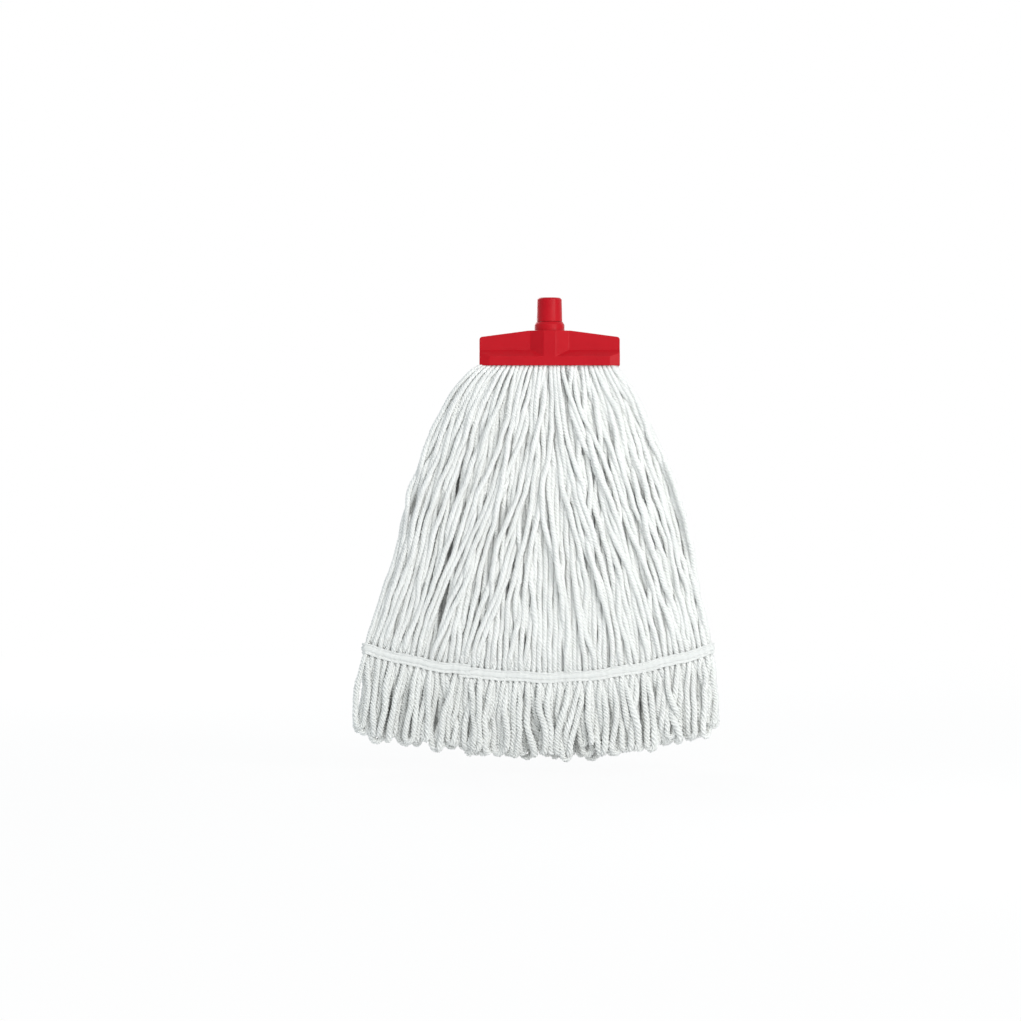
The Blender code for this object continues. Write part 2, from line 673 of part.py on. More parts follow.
def main():
    clear_scene()
    shop = Workshop()
    red = principled("red_plastic", (0.55, 0.016, 0.027), 0.35)
    nylon = principled("natural_nylon", (0.72, 0.70, 0.64), 0.5)
    yarn = principled("white_yarn", (0.82, 0.82, 0.80), 0.9)
    canvas = principled("white_tape", (0.80, 0.80, 0.78), 0.85)
    head = shop.empty("head", (0.0, 0.0, 0.0))
    skirt = shop.empty("skirt", (0.0, 0.0, HINGE_Z))
    make_spigot(shop, red, head)
    make_pins(shop, nylon, head)
    make_headband(shop, canvas, head)
    make_yarn_root(shop, yarn, head)
    for sheet, facing in (("front", -1), ("rear", 1)):
        make_shell(shop, sheet + "_shell", facing, red, head)
        make_strands(shop, sheet, facing, yarn, skirt)
        make_tail_tape(shop, sheet, facing, canvas, skirt)
    print_least_gap()


main()
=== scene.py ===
import math

import bpy
import numpy as np
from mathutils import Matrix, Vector


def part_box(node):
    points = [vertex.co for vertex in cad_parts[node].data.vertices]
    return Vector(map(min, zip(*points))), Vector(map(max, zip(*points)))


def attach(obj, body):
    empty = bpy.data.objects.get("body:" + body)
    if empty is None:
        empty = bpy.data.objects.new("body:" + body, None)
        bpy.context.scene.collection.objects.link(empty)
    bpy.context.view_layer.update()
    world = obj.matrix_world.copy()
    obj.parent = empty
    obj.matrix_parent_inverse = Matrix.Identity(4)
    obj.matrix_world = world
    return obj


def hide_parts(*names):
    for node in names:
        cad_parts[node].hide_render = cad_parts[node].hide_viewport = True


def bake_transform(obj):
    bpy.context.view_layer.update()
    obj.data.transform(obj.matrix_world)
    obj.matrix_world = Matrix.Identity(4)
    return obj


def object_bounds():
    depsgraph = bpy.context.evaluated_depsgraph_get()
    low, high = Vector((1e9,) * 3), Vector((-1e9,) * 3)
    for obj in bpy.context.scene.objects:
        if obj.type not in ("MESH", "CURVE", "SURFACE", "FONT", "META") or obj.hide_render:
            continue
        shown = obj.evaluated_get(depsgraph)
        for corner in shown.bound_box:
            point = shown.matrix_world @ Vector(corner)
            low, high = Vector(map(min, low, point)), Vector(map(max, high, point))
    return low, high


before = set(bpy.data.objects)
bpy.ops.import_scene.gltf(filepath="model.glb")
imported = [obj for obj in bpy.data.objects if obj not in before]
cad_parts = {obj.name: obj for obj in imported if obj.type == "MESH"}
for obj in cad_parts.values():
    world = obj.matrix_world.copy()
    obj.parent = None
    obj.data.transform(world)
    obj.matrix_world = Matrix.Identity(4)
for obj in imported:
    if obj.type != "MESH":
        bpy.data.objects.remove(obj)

CAD_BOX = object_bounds()
RANDOM = np.random.default_rng(20)

# Photograph: one pixel is one millimetre, and the spigot's axis stands at this column
IMAGE_SIDE = 1021
PIXEL = 0.001
AXIS_COLUMN = 549.5
ORIGIN_ROW = 322.0
CAMERA_DISTANCE = 3.5
SENSOR_WIDTH = 36.0

# Levels taken from the frame
MOUTH_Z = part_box("front_shell")[0].z
HEADBAND_LOW, HEADBAND_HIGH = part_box("headband_tape")

# Floor a little below the fringe, which fades to white between two distances from the middle
FLOOR_GAP = 0.012
FLOOR_Z = CAD_BOX[0][2] - FLOOR_GAP
FLOOR_RADIUS = 12.0
FLOOR_SIDES = 96
FLOOR_WHITE_NEAR = 0.9
FLOOR_FADE = (0.5, 3.0)

# Light: each lamp's place, aim, width and height, power and colour, and the light from all round
LAMPS = {
    "key": ((0.78, -0.92, 0.12), (0.03, 0.0, -0.24), (0.36, 0.9), 5.3, (1.0, 0.985, 0.96)),
    "fill": ((0.6, -2.2, 1.1), (-0.03, 0.0, -0.22), (2.2, 2.2), 17, (1.0, 0.99, 0.97)),
    "back": ((-0.6, 2.3, 1.0), (-0.03, 0.0, -0.22), (2.2, 2.2), 34, (1.0, 0.99, 0.98)),
}
WORLD_COLOUR = (0.88, 0.955, 1.0, 1)
WORLD_STRENGTH = 0.61
WHITE = (1, 1, 1, 1)

# Fan of strands, with drops measured below the mouth
YARN_HALF_WIDTH = 0.065
LEFT_FLARE = 0.029
RIGHT_FLARE = 0.025
LEFT_FLARE_RUN = 0.010
RIGHT_FLARE_RUN = 0.045
LEFT_SPREAD = 0.318
RIGHT_SPREAD = 0.296
RIGHT_SLACK = 0.15
LEFT_BULGE = 0.007
BULGE_DROP = 0.130
BULGE_RUN = 0.032
LEFT_FRINGE_SPREAD = 0.13
RIGHT_FRINGE_SPREAD = 0.06
BAND_DROP = 0.311
BAND_RISE = 0.0285
FRINGE_DROP = 0.391
FRINGE_RISE = 0.022
FRINGE_END_RISE = 0.007

# Yarn: loops in each sheet, and the plies and rings of one loop's tube
LOOPS = 60
STRANDS = 2 * LOOPS
GROUPS = 7
YARN_RADIUS = 0.0030
RADIUS_RANGE = (0.92, 1.08)
PLIES = 4
SIDES = 20
RINGS = 500
FAN_PLY_DEPTH = 0.24
FRINGE_PLY_DEPTH = 0.42
DEEPER_FROM = 0.03
DEEPER_RUN = 0.05
TWIST_LENGTH = 0.0145
TWIST_RANGE = (0.92, 1.1)
CURVE_STEPS = 6
STRIPS_PER_LOOP = 4
STRIP_MARGIN = 0.06
FIBRE_STRETCH = 0.06

# Uneven yarn: length, size and change of twist of thick places, then length and size of uneven plies
SLUBS = ((0.031, 0.025, 0.5), (0.083, 0.03, 1.1))
SLUB_TWIST_RATIO = 1.7
PLY_WAVES = ((0.021, 0.035), (0.057, 0.04))

# Levels along a strand: inside the head, down the fan, and down the fringe
HEAD_LEVELS = 7
FAN_SHARES = np.concatenate(
    [np.linspace(0.0, 0.025, 8)[:-1], np.linspace(0.025, 0.93, 54)[:-1], np.linspace(0.93, 1.0, 12)]
)
FAN_LEVELS = len(FAN_SHARES)
FRINGE_SHARES = np.concatenate([np.linspace(0.0, 0.12, 5)[1:], np.linspace(0.12, 1.0, 18)[1:]])
FRINGE_LEVELS = len(FRINGE_SHARES)
ARC_POINTS = 7
FOLD_GAP = 0.0025

# How freely strands swing at each level of the fan, which is held at both ends
FAN_FREEDOM = np.sin(math.pi * FAN_SHARES ** 0.8).clip(0) ** 0.7

# Share of its radius that yarn keeps in the headband, at the mouth, under the tail band and in the fringe
CLAMPED_SHARE = 0.38
CLAMP_HEIGHT = 0.014
CLAMP_RUN = 0.012
MOUTH_SHARE = 0.77
MOUTH_RUN = 0.045
BAND_SHARE = 0.90
BAND_REACH = 0.004
BAND_RUN = 0.014
SWOLLEN_SHARE = 1.18
SWELL_DROP = 0.01
SWELL_RUN = 0.03

# Depths of the four layers of a sheet, from the mouth to the tail band, where two rows lie under the tape
LAYERS = 4
OUTER_LAYERS = 2
MOUTH_ORDER = (0, 2, 1, 3)
DEPTH_SHARES = (0.0, 0.0075, 0.0155, 0.05, 0.16, 0.42, 0.72, 0.93, 0.968, 0.986)
LAYER_DEPTHS = np.array(
    [
        (0.0119, 0.0144, 0.0160, 0.0162, 0.0158, 0.0148, 0.0140, 0.0132, 0.0120),
        (0.0087, 0.0104, 0.0124, 0.0138, 0.0142, 0.0136, 0.0129, 0.0122, 0.0110),
        (0.0054, 0.0074, 0.0098, 0.0120, 0.0130, 0.0128, 0.0122, 0.0112, 0.0092),
        (0.0020, 0.0038, 0.0064, 0.0090, 0.0102, 0.0102, 0.0097, 0.0085, 0.0066),
    ]
)
BAND_ROWS = (0.0058, 0.0022)
CLAMPED_DEPTH = 0.26
OPENING_RUN = 0.013
BOW = 0.8
BOW_RISE = 0.2
BOW_FADE = 0.9
BOW_FADE_RUN = 0.1

# Outer pairs of strands drift to the sides on their way down, and roll outward and back
DIVERGENCE = 0.6
DRIFT_END = 0.94
CURVE_SAMPLES = 200
SWEEP = 0.0115
SWEEP_RISE = 0.0025
SWEEP_RUNS = (0.55, 0.9)
SWEEP_RANGE = (0.6, 1.2)
SWEEP_MIDDLE = 0.25

# Clumps: number across a half sheet and strength of each, and how far they drift on the way down
CLUMPS = ((3.2, 1.0), (5.5, 0.8), (8.0, 0.45))
CLUMP_DRIFT = 1.6
OUTER_CLUMPING = 0.042
INNER_CLUMPING = 0.008

# Wander of single strands: lengths and sizes of waves, and strands that lean across their neighbours
SIDE_WAVES = ((0.26, 0.13), (0.0022, 0.0010))
DEPTH_WAVES = ((0.22, 0.11), (0.0012, 0.0006))
WAVE_STRETCH = (0.8, 1.25)
WAVE_UNLIKE = 0.35
INNER_LOOSENESS = 0.25
LEANING_STRANDS = 30
LEAN_MIDDLES = (0.25, 0.85)
LEAN_REACHES = (0.12, 0.3)
LEAN_SIZES = (0.004, 0.014)
LEAN_RISE = 0.0035
SIDE_KINKS = ((0.061, 0.033), (0.00050, 0.00030))
DEPTH_KINKS = ((0.057, 0.029), (0.00050, 0.00030))
KINK_DROP = 0.004
KINK_RUN = 0.05
KINK_BAND_RUN = 0.025

# Parting of the front sheet: where it is, and the level and run of its upper and its lower part
PARTING_PLACE = -0.01
PARTING_WIDTH = 0.0035
PARTING_REACH = 0.09
PARTING_LEVELS = ((0.13, 0.10), (0.93, 0.06))
LOWER_PARTING = 1.2

# Fringe: pairs of legs that lie on top and others that lie under them
LOOP_UNLIKE = 0.0028
LOWEST_LOOP = 0.0034
TURN_HEIGHT = 0.006
TURN_DEPTH = 1.4
FRINGE_DEPTHS = (0.0102, 0.0066)
FRINGE_UNLIKE = 0.0013
SWELL_SHARE = 0.05
SWELL_RATE = 8
BELLY = 0.0028
BELLY_TURN = 0.75
CLOSING_RATE = 1.3
LEG_GAPS = (0.0056, 0.0076)
PAIR_TURN = 1.5
INNER_TURN = 0.3
OPEN_LOOPS = 0.14
LOOP_OPENINGS = (0.002, 0.0045)
END_LOOP_OPENING = 0.0048
OPENING_TURN = 0.85
OPENING_POWER = 1.3
PAIR_LEANS = (0.0085, 0.0028)
FRINGE_WAVES = ((0.062, 0.034), (0.0016, 0.0009))
SWAY_RATE = 2.5

# Relaxing: how overlapping strands push each other aside while they stay smooth
RELAX_ROUNDS = 160
NEIGHBOURS = 48
PACKED_SHARE = 0.755
PUSH = 0.3
SMOOTHING = 0.4
PULL_BACK = 0.015
LEVELS_HELD = 2
HALF_FREE = 0.4
STEEPEST = 1.2
SHORTEST_STEP = 1e-5
MOUTH_HALF_WIDTH = YARN_HALF_WIDTH + 0.0018
MOUTH_HALF_DEPTH = 0.0119

# Tail band: a tape on each side, wrapped at its ends, with a lapped join on the front
TAPE_HEIGHT = 0.0105
TAPE_THICKNESS = 0.0009
TAPE_OFFSET = 0.0095
TAPE_END_GAP = 0.0039
TAPE_END_BEND = 0.0045
TAPE_END_POINTS = 14
TAPE_END_MARGIN = 0.001
TAPE_COLUMNS = 17
TAPE_JOIN_X = -0.084
JOIN_LAP = 0.012
JOIN_RUN = 0.03
JOIN_RISE = 0.0012
JOIN_DROP = 0.0016
JOIN_LIFT = 0.0011
JOIN_SINK = 0.0002
BAND_SAMPLES = 340
SHARP_ANGLE = 50

# Relief of a tape: sizes, lengths and phases of its waves, its fall to the edges and its sewn grooves
PUCKER = ((0.00020, 0.0059, 0), (0.00014, 0.0083, 1))
DRIFT = ((0.0003, 0.071, 1),)
SWAY = ((0.00055, 0.049, 0), (0.0002, 0.017, 2))
EDGE_CALM = 0.4
EDGE_FALL = 0.0008
GROOVE_DEPTH = 0.0014
GROOVE_WIDTH = 0.0008

# Headband, folded over the top of the yarn
HEADBAND_THICKNESS = 0.0012
HEADBAND_FOLD = 0.003
FOLD_POINTS = 8
SIDE_POINTS = 14
HEADBAND_SAMPLES = 180
RIPPLE_SIZE = 0.00012
RIPPLE_LENGTH = 0.0047
RIPPLE_WIDTH = 0.0031
HEADBAND_ROWS = (0.0025, 0.0055)

# Stitches, in two rows on every tape
STITCH_ROW = 0.0027
STITCH_PITCH = 0.0036
STITCH_SHARE = 0.8
STITCH_FIRST = 0.002
STITCH_LAST = 0.004
STITCH_BOW = 1.5
STITCH_SINK = 0.9
STITCH_RINGS = 7
STITCH_SIDES = 6
THREAD_RADIUS = 0.00028

# Materials: a low gloss for cloth and plastic, and the spacing of a tape's threads along and across it
LOW_GLOSS = 0.15
WEAVE_PITCH = (0.0011, 0.0009)


def smooth(value):
    """From 0 to 1 without a corner at either end."""
    value = np.clip(value, 0.0, 1.0)
    return value * value * (3 - 2 * value)


def bell(value, middle, run):
    """1 at the middle, falling away on both sides."""
    return np.exp(-((value - middle) / run) ** 2)


def round_angles(sides):
    return np.arange(sides) / sides * 2 * math.pi


def band_drop(place):
    return BAND_DROP - BAND_RISE * place ** 2


def fringe_drop(place):
    return FRINGE_DROP - FRINGE_RISE * place ** 2 - FRINGE_END_RISE * place ** 12


def fan_x(place, drop):
    """A strand flares at the mouth, more sharply on the left, fans out and straightens in the fringe."""
    left = place < 0
    fan = np.clip(drop, 0.0, band_drop(place))
    flare = np.where(left, LEFT_FLARE, RIGHT_FLARE) * np.abs(place)
    flare = flare * (1 - np.exp(-fan / np.where(left, LEFT_FLARE_RUN, RIGHT_FLARE_RUN)))
    bulge = LEFT_BULGE * left * np.abs(place) ** 3 * bell(fan, BULGE_DROP, BULGE_RUN)
    spread = np.where(left, LEFT_SPREAD, RIGHT_SPREAD - RIGHT_SLACK * fan)
    below = np.maximum(drop - band_drop(place), 0)
    fringe = np.where(left, LEFT_FRINGE_SPREAD, RIGHT_FRINGE_SPREAD) * below
    return place * (YARN_HALF_WIDTH + flare + bulge + spread * fan + fringe)


def waves(count, along, lengths, sizes):
    """Smooth random curves, one row for each strand, from a few sines."""
    total = np.zeros((count, len(along)))
    for length, size in zip(lengths, sizes):
        phase = RANDOM.uniform(0, 2 * math.pi, (count, 1))
        stretch = RANDOM.uniform(*WAVE_STRETCH, (count, 1))
        strength = size * RANDOM.normal(1, WAVE_UNLIKE, (count, 1))
        total += strength * np.sin(2 * math.pi * along / (length * stretch) + phase)
    return total


def clump_field(place, share):
    """A sideways pull shared by neighbouring strands, which gathers them into clumps."""
    total = np.zeros((len(place), len(share)))
    for number, strength in CLUMPS:
        for _ in range(2):
            drift = RANDOM.uniform(-CLUMP_DRIFT, CLUMP_DRIFT)
            phase = RANDOM.uniform(0, 2 * math.pi)
            turns = number * place[:, None] + drift * share
            total += strength / number * np.sin(2 * math.pi * turns + phase)
    return total


def squeezed(drop, band):
    """Share of its full radius that a strand has in the headband, at the mouth, at the tail band and below."""
    clamp = CLAMPED_SHARE + (MOUTH_SHARE - CLAMPED_SHARE) * smooth((drop + CLAMP_HEIGHT) / CLAMP_RUN)
    mouth = (1 - MOUTH_SHARE) * smooth(drop / MOUTH_RUN)
    tail = 1 - (1 - BAND_SHARE) * (1 - smooth((np.abs(drop - band) - BAND_REACH) / BAND_RUN))
    fringe = 1 + (SWOLLEN_SHARE - 1) * smooth((drop - band - SWELL_DROP) / SWELL_RUN)
    return (clamp + mouth) * tail * fringe


def pushes(x, y, radius, upright):
    """How far overlapping strands push each other sideways and in depth, at every level."""
    x_push, y_push = np.zeros_like(x), np.zeros_like(y)
    for step in range(1, NEIGHBOURS + 1):
        narrow = (upright[step:] + upright[:-step]) / 2
        dx = (x[step:] - x[:-step]) * narrow
        dy = y[step:] - y[:-step]
        way = np.sqrt(dx * dx + dy * dy) + 1e-9
        push = np.clip(radius[step:] + radius[:-step] - way, 0, None) / way * PUSH
        x_push[step:] += push * dx
        x_push[:-step] -= push * dx
        y_push[step:] += push * dy
        y_push[:-step] -= push * dy
    return x_push, y_push


class Layout:
    """Middle lines of all strands: rows are strands, columns are levels from the headband to the fringe."""

    def __init__(self):
        slots = np.arange(STRANDS).reshape(-1, LAYERS)[:, MOUTH_ORDER].ravel()
        steps = (slots + 0.5) / STRANDS
        number = np.arange(2 * STRANDS)
        self.facing = np.repeat((-1.0, 1.0), STRANDS)
        self.stagger = 0.5 * self.facing / STRANDS
        self.place = 2 * np.tile(steps, 2) - 1 + self.stagger
        self.layer = number % LAYERS
        self.outer = self.layer < OUTER_LAYERS
        self.row = number % 2
        self.end_place = self.spread_out()
        fan_run = np.interp(FAN_SHARES, (0, DRIFT_END, 1), (0, 1, 1))
        run = np.concatenate([np.zeros(HEAD_LEVELS), fan_run, np.ones(FRINGE_LEVELS)])
        self.place_at = self.place[:, None] + (self.end_place - self.place)[:, None] * run
        self.set_levels()
        self.set_goals()

    def spread_out(self):
        """Places at the tail band: outer pairs drift to the sides and inner pairs fill the middle."""
        pair = self.place.reshape(-1, 2).mean(1)
        away = np.abs(pair)
        even = np.linspace(0, 1, CURVE_SAMPLES)
        inner = np.interp(away, 2 * even - even ** (1 / DIVERGENCE), even)
        goal = np.sign(pair) * np.where(self.outer[0::2], away ** DIVERGENCE, inner)
        self.rank = goal.reshape(2, -1).argsort(1).argsort(1).ravel()
        end = 2 * (self.rank + 0.5) / LOOPS - 1
        legs = np.tile((-1.0, 1.0), len(pair)) / STRANDS
        return end.repeat(2) + legs + self.stagger

    def set_levels(self):
        """Drops of every level, with loops of unlike length below the tail band."""
        count = 2 * STRANDS
        top = MOUTH_Z - (HEADBAND_HIGH.z - FOLD_GAP)
        head = np.linspace(top, 0.0, HEAD_LEVELS + 1)[:-1]
        band = band_drop(self.end_place)[:, None]
        unlike = np.minimum(RANDOM.normal(0.0, LOOP_UNLIKE, count // 2), LOWEST_LOOP)
        bottom = fringe_drop(self.end_place) - YARN_RADIUS - TURN_HEIGHT + unlike.repeat(2)
        bottom = bottom.reshape(-1, 2).mean(1).repeat(2)[:, None]
        fringe = band + (bottom - band) * FRINGE_SHARES
        self.drop = np.concatenate([np.tile(head, (count, 1)), band * FAN_SHARES, fringe], 1)
        self.squeeze = squeezed(self.drop, band)

    def set_goals(self):
        """Where each strand would run if nothing pushed it aside."""
        x = fan_x(self.place_at, self.drop)
        y = np.zeros_like(x)
        fan = slice(HEAD_LEVELS, HEAD_LEVELS + FAN_LEVELS)
        bowed = BOW * smooth(FAN_SHARES / BOW_RISE) * (1 - smooth((FAN_SHARES - BOW_FADE) / BOW_FADE_RUN))
        for strand, (layer, row) in enumerate(zip(self.layer, self.row)):
            depths = (*LAYER_DEPTHS[layer], BAND_ROWS[row])
            depth = np.interp(FAN_SHARES, DEPTH_SHARES, depths)
            round_off = 1 - bowed * (1 - np.sqrt(1 - self.place_at[strand, fan] ** 2))
            y[strand, fan] = self.facing[strand] * depth * round_off
        head = self.drop[:, :HEAD_LEVELS]
        opening = CLAMPED_DEPTH + (1 - CLAMPED_DEPTH) * smooth((head + OPENING_RUN) / OPENING_RUN)
        y[:, :HEAD_LEVELS] = y[:, HEAD_LEVELS][:, None] * opening
        self.add_wander(x, y, fan)
        self.add_sweeps(x, y, fan)
        self.part_middle(x, fan)
        self.add_fringe(x, y)
        self.x_goal, self.y_goal = x, y

    def add_wander(self, x, y, fan):
        """Clumps, single wandering strands and some that lean across their neighbours."""
        for sheet in (-1.0, 1.0):
            for outer, strength in ((True, OUTER_CLUMPING), (False, INNER_CLUMPING)):
                rows = (self.facing == sheet) & (self.outer == outer)
                pull = clump_field(self.place[rows], FAN_SHARES)
                scale = np.abs(x[rows, fan]).max(0)
                inner = 1 - self.place_at[rows, fan] ** 4
                x[rows, fan] += strength * scale * FAN_FREEDOM * pull * inner
        length = FAN_SHARES * BAND_DROP
        loose = FAN_FREEDOM * np.where(self.outer, 1.0, INNER_LOOSENESS)[:, None]
        x[:, fan] += loose * waves(len(x), length, *SIDE_WAVES)
        y[:, fan] += loose * waves(len(x), length, *DEPTH_WAVES)
        for strand in RANDOM.choice(np.flatnonzero(self.outer), LEANING_STRANDS, replace=False):
            middle = RANDOM.uniform(*LEAN_MIDDLES)
            reach = RANDOM.uniform(*LEAN_REACHES)
            bump = bell(FAN_SHARES, middle, reach) * FAN_FREEDOM
            x[strand, fan] += RANDOM.choice((-1, 1)) * RANDOM.uniform(*LEAN_SIZES) * bump
            y[strand, fan] += self.facing[strand] * LEAN_RISE * bump

    def add_sweeps(self, x, y, fan):
        """Outer strands roll outward on top and back underneath, so that those on show lean to the sides."""
        outer = np.flatnonzero(self.outer)
        turn = 2 * math.pi * FAN_SHARES / RANDOM.uniform(*SWEEP_RUNS, (len(outer), 1))
        turn = turn + RANDOM.uniform(0, 2 * math.pi, (len(outer), 1))
        place = self.place_at[outer, fan]
        size = SWEEP * RANDOM.uniform(*SWEEP_RANGE, (len(outer), 1)) * np.clip(place / SWEEP_MIDDLE, -1, 1)
        x[outer, fan] += size * (1 - place ** 2) * FAN_FREEDOM * np.sin(turn)
        y[outer, fan] += self.facing[outer, None] * SWEEP_RISE * FAN_FREEDOM * np.cos(turn)

    def part_middle(self, x, fan):
        """The outer layers of the front part in the middle, below the mouth and again above the tail band."""
        side = self.place - PARTING_PLACE
        reach = np.exp(-np.abs(side) / PARTING_REACH) * np.sign(side) * ((self.facing < 0) & self.outer)
        high, low = (bell(FAN_SHARES, level, run) for level, run in PARTING_LEVELS)
        x[:, fan] += PARTING_WIDTH * reach[:, None] * (high + LOWER_PARTING * low)

    def add_fringe(self, x, y):
        """Legs swell below the tail band, draw together in pairs and turn about each other."""
        low = slice(HEAD_LEVELS + FAN_LEVELS, None)
        on_top = self.rank % 2 == 0
        depth = self.fringe_depths(on_top)
        spread, turn = self.fringe_turns(on_top)
        lean = self.fringe_leans(on_top)
        pair = x[:, low].reshape(-1, 2, FRINGE_LEVELS)
        centre = pair.mean(1, keepdims=True)
        side = np.array((-0.5, 0.5))[None, :, None]
        closing = smooth(CLOSING_RATE * FRINGE_SHARES)
        legs = pair * (1 - closing) + (centre + side * spread * np.cos(turn)) * closing + lean
        depth = depth + side * spread * np.sin(turn) * closing
        x[:, low] = legs.reshape(-1, FRINGE_LEVELS)
        y[:, low] = depth.reshape(-1, FRINGE_LEVELS)

    def fringe_depths(self, on_top):
        """Depth of every leg, which swells out from its row under the tape."""
        outer = np.where(on_top, *FRINGE_DEPTHS) + RANDOM.normal(0, FRINGE_UNLIKE, len(on_top))
        start = np.array(BAND_ROWS)[self.row].reshape(-1, 2, 1)
        swell = smooth(SWELL_RATE * (FRINGE_SHARES - SWELL_SHARE))
        belly = BELLY * np.sin(math.pi * FRINGE_SHARES * BELLY_TURN)
        depth = start + (outer[:, None, None] - start + belly) * swell
        return depth * self.facing.reshape(-1, 2, 1)

    def fringe_turns(self, on_top):
        """How far apart the legs of each pair lie and how they turn, with the end loop open and flat."""
        shape = (len(on_top), 1, 1)
        gap = RANDOM.uniform(*LEG_GAPS, shape)
        turn = RANDOM.normal(0, PAIR_TURN, shape) * smooth(FRINGE_SHARES)
        opening = np.where(RANDOM.random(shape) < OPEN_LOOPS, RANDOM.uniform(*LOOP_OPENINGS, shape), 0.0)
        opening[0] = END_LOOP_OPENING
        turn[~on_top] *= INNER_TURN
        turn[0] = 0.0
        open_shape = np.sin(OPENING_TURN * math.pi * FRINGE_SHARES ** OPENING_POWER)
        return gap + 2 * opening * open_shape, turn

    def fringe_leans(self, on_top):
        """Sideways lean of each pair, less at the sheet's sides, and the sway of each leg."""
        share = FRINGE_SHARES
        inner = 1 - self.end_place[0::2] ** 4
        lean = RANDOM.normal(0, 1, len(on_top)) * np.where(on_top, *PAIR_LEANS) * inner
        sway = waves(len(self.place), share * (FRINGE_DROP - BAND_DROP), *FRINGE_WAVES)
        sway = (sway * smooth(SWAY_RATE * share)).reshape(-1, 2, FRINGE_LEVELS)
        return lean[:, None, None] * smooth(share) + sway

    def relax(self):
        """Pushes overlapping strands apart level by level, keeping each one smooth along its length."""
        first = HEAD_LEVELS - 1
        band = HEAD_LEVELS + FAN_LEVELS - 1
        mouth = slice(first, HEAD_LEVELS + 1)
        order = np.argsort(self.place + self.end_place, kind="stable")
        x_goal, y_goal, drop = self.x_goal[order], self.y_goal[order], self.drop[order]
        x, y = x_goal.copy(), y_goal.copy()
        slope = np.gradient(x, axis=1) / np.maximum(np.gradient(drop, axis=1), SHORTEST_STEP)
        upright = 1 / np.sqrt(1 + np.clip(slope, -STEEPEST, STEEPEST) ** 2)
        radius = PACKED_SHARE * YARN_RADIUS * self.squeeze[order]
        free = np.ones(x.shape[1])
        free[:first] = 0
        free[band - LEVELS_HELD - 1:band + LEVELS_HELD + 2] = HALF_FREE
        free[band - LEVELS_HELD:band + LEVELS_HELD + 1] = 0
        steps = np.diff(drop, axis=1)
        nearer = steps[:, 1:] / (steps[:, 1:] + steps[:, :-1])
        for _ in range(RELAX_ROUNDS):
            x_push, y_push = pushes(x, y, radius, upright)
            x += x_push * free
            y += y_push * free
            for line, goal in ((x, x_goal), (y, y_goal)):
                straight = line[:, :-2] * nearer + line[:, 2:] * (1 - nearer)
                line[:, 1:-1] += SMOOTHING * (straight - line[:, 1:-1]) * free[1:-1]
                line += PULL_BACK * (goal - line) * free
            x[:, mouth] = np.clip(x[:, mouth], -MOUTH_HALF_WIDTH, MOUTH_HALF_WIDTH)
            y[:, mouth] = np.clip(y[:, mouth], -MOUTH_HALF_DEPTH, MOUTH_HALF_DEPTH)
        self.x, self.y = np.empty_like(x), np.empty_like(y)
        self.x[order], self.y[order] = x, y

    def add_kinks(self):
        """Small bends that yarn keeps from being wound, fading out at the mouth and the tail band."""
        band = band_drop(self.end_place)[:, None]
        free = smooth((self.drop - KINK_DROP) / KINK_RUN) * smooth(np.abs(self.drop - band) / KINK_BAND_RUN)
        along = self.drop.mean(0)
        self.x += free * waves(len(self.x), along, *SIDE_KINKS)
        self.y += free * waves(len(self.y), along, *DEPTH_KINKS)

    def loops(self):
        """Control points of every loop: down one strand, round the turn and up the next."""
        lines = np.stack([self.x, self.y, MOUTH_Z - self.drop], 2)
        down, up = lines[0::2], lines[1::2]
        middle = (down[:, -1] + up[:, -1]) / 2
        half = (down[:, -1] - up[:, -1]) / 2
        reach = np.linalg.norm(half, axis=1, keepdims=True) * np.array((0.0, 0.0, -TURN_DEPTH))
        angles = np.linspace(0, math.pi, ARC_POINTS + 2)[1:-1]
        turn = [middle + half * math.cos(a) + reach * math.sin(a) for a in angles]
        return np.concatenate([down, np.stack(turn, 1), up[:, ::-1]], 1)


def run_along(line):
    """Length along a line at each of its points."""
    return np.concatenate([[0], np.cumsum(np.linalg.norm(np.diff(line, axis=0), axis=1))])


def resampled(paths, rings):
    """Smooth curves through the control points, with rings at even steps along each."""
    before = np.concatenate([2 * paths[:, :1] - paths[:, 1:2], paths], 1)
    padded = np.concatenate([before, 2 * paths[:, -1:] - paths[:, -2:-1]], 1)
    a, b, c, d = (padded[:, k:k + paths.shape[1] - 1, None] for k in range(4))
    t = (np.arange(CURVE_STEPS) / CURVE_STEPS)[None, None, :, None]
    square = (2 * a - 5 * b + 4 * c - d) * t ** 2
    cube = (3 * b - a - 3 * c + d) * t ** 3
    fine = (0.5 * (2 * b + (c - a) * t + square + cube)).reshape(len(paths), -1, 3)
    fine = np.concatenate([fine, paths[:, -1:]], 1)
    result = np.empty((len(paths), rings, 3))
    lengths = np.empty((len(paths), rings))
    for row, path in enumerate(fine):
        run = run_along(path)
        lengths[row] = np.linspace(0, run[-1], rings)
        for axis in range(3):
            result[row, :, axis] = np.interp(lengths[row], run, path[:, axis])
    return result, lengths


def unit(vectors):
    return vectors / np.maximum(np.linalg.norm(vectors, axis=-1, keepdims=True), 1e-12)


def carried_frames(lines):
    """Two directions square to each line, carried along it without turning about it."""
    tangent = unit(np.gradient(lines, axis=1))
    first = np.empty_like(lines)
    aside = unit(np.cross(tangent[:, 0], (0.0, 1.0, 0.0)))
    for ring in range(lines.shape[1]):
        along = tangent[:, ring]
        aside = unit(aside - (aside * along).sum(1, keepdims=True) * along)
        first[:, ring] = aside
    return first, np.cross(first, tangent)


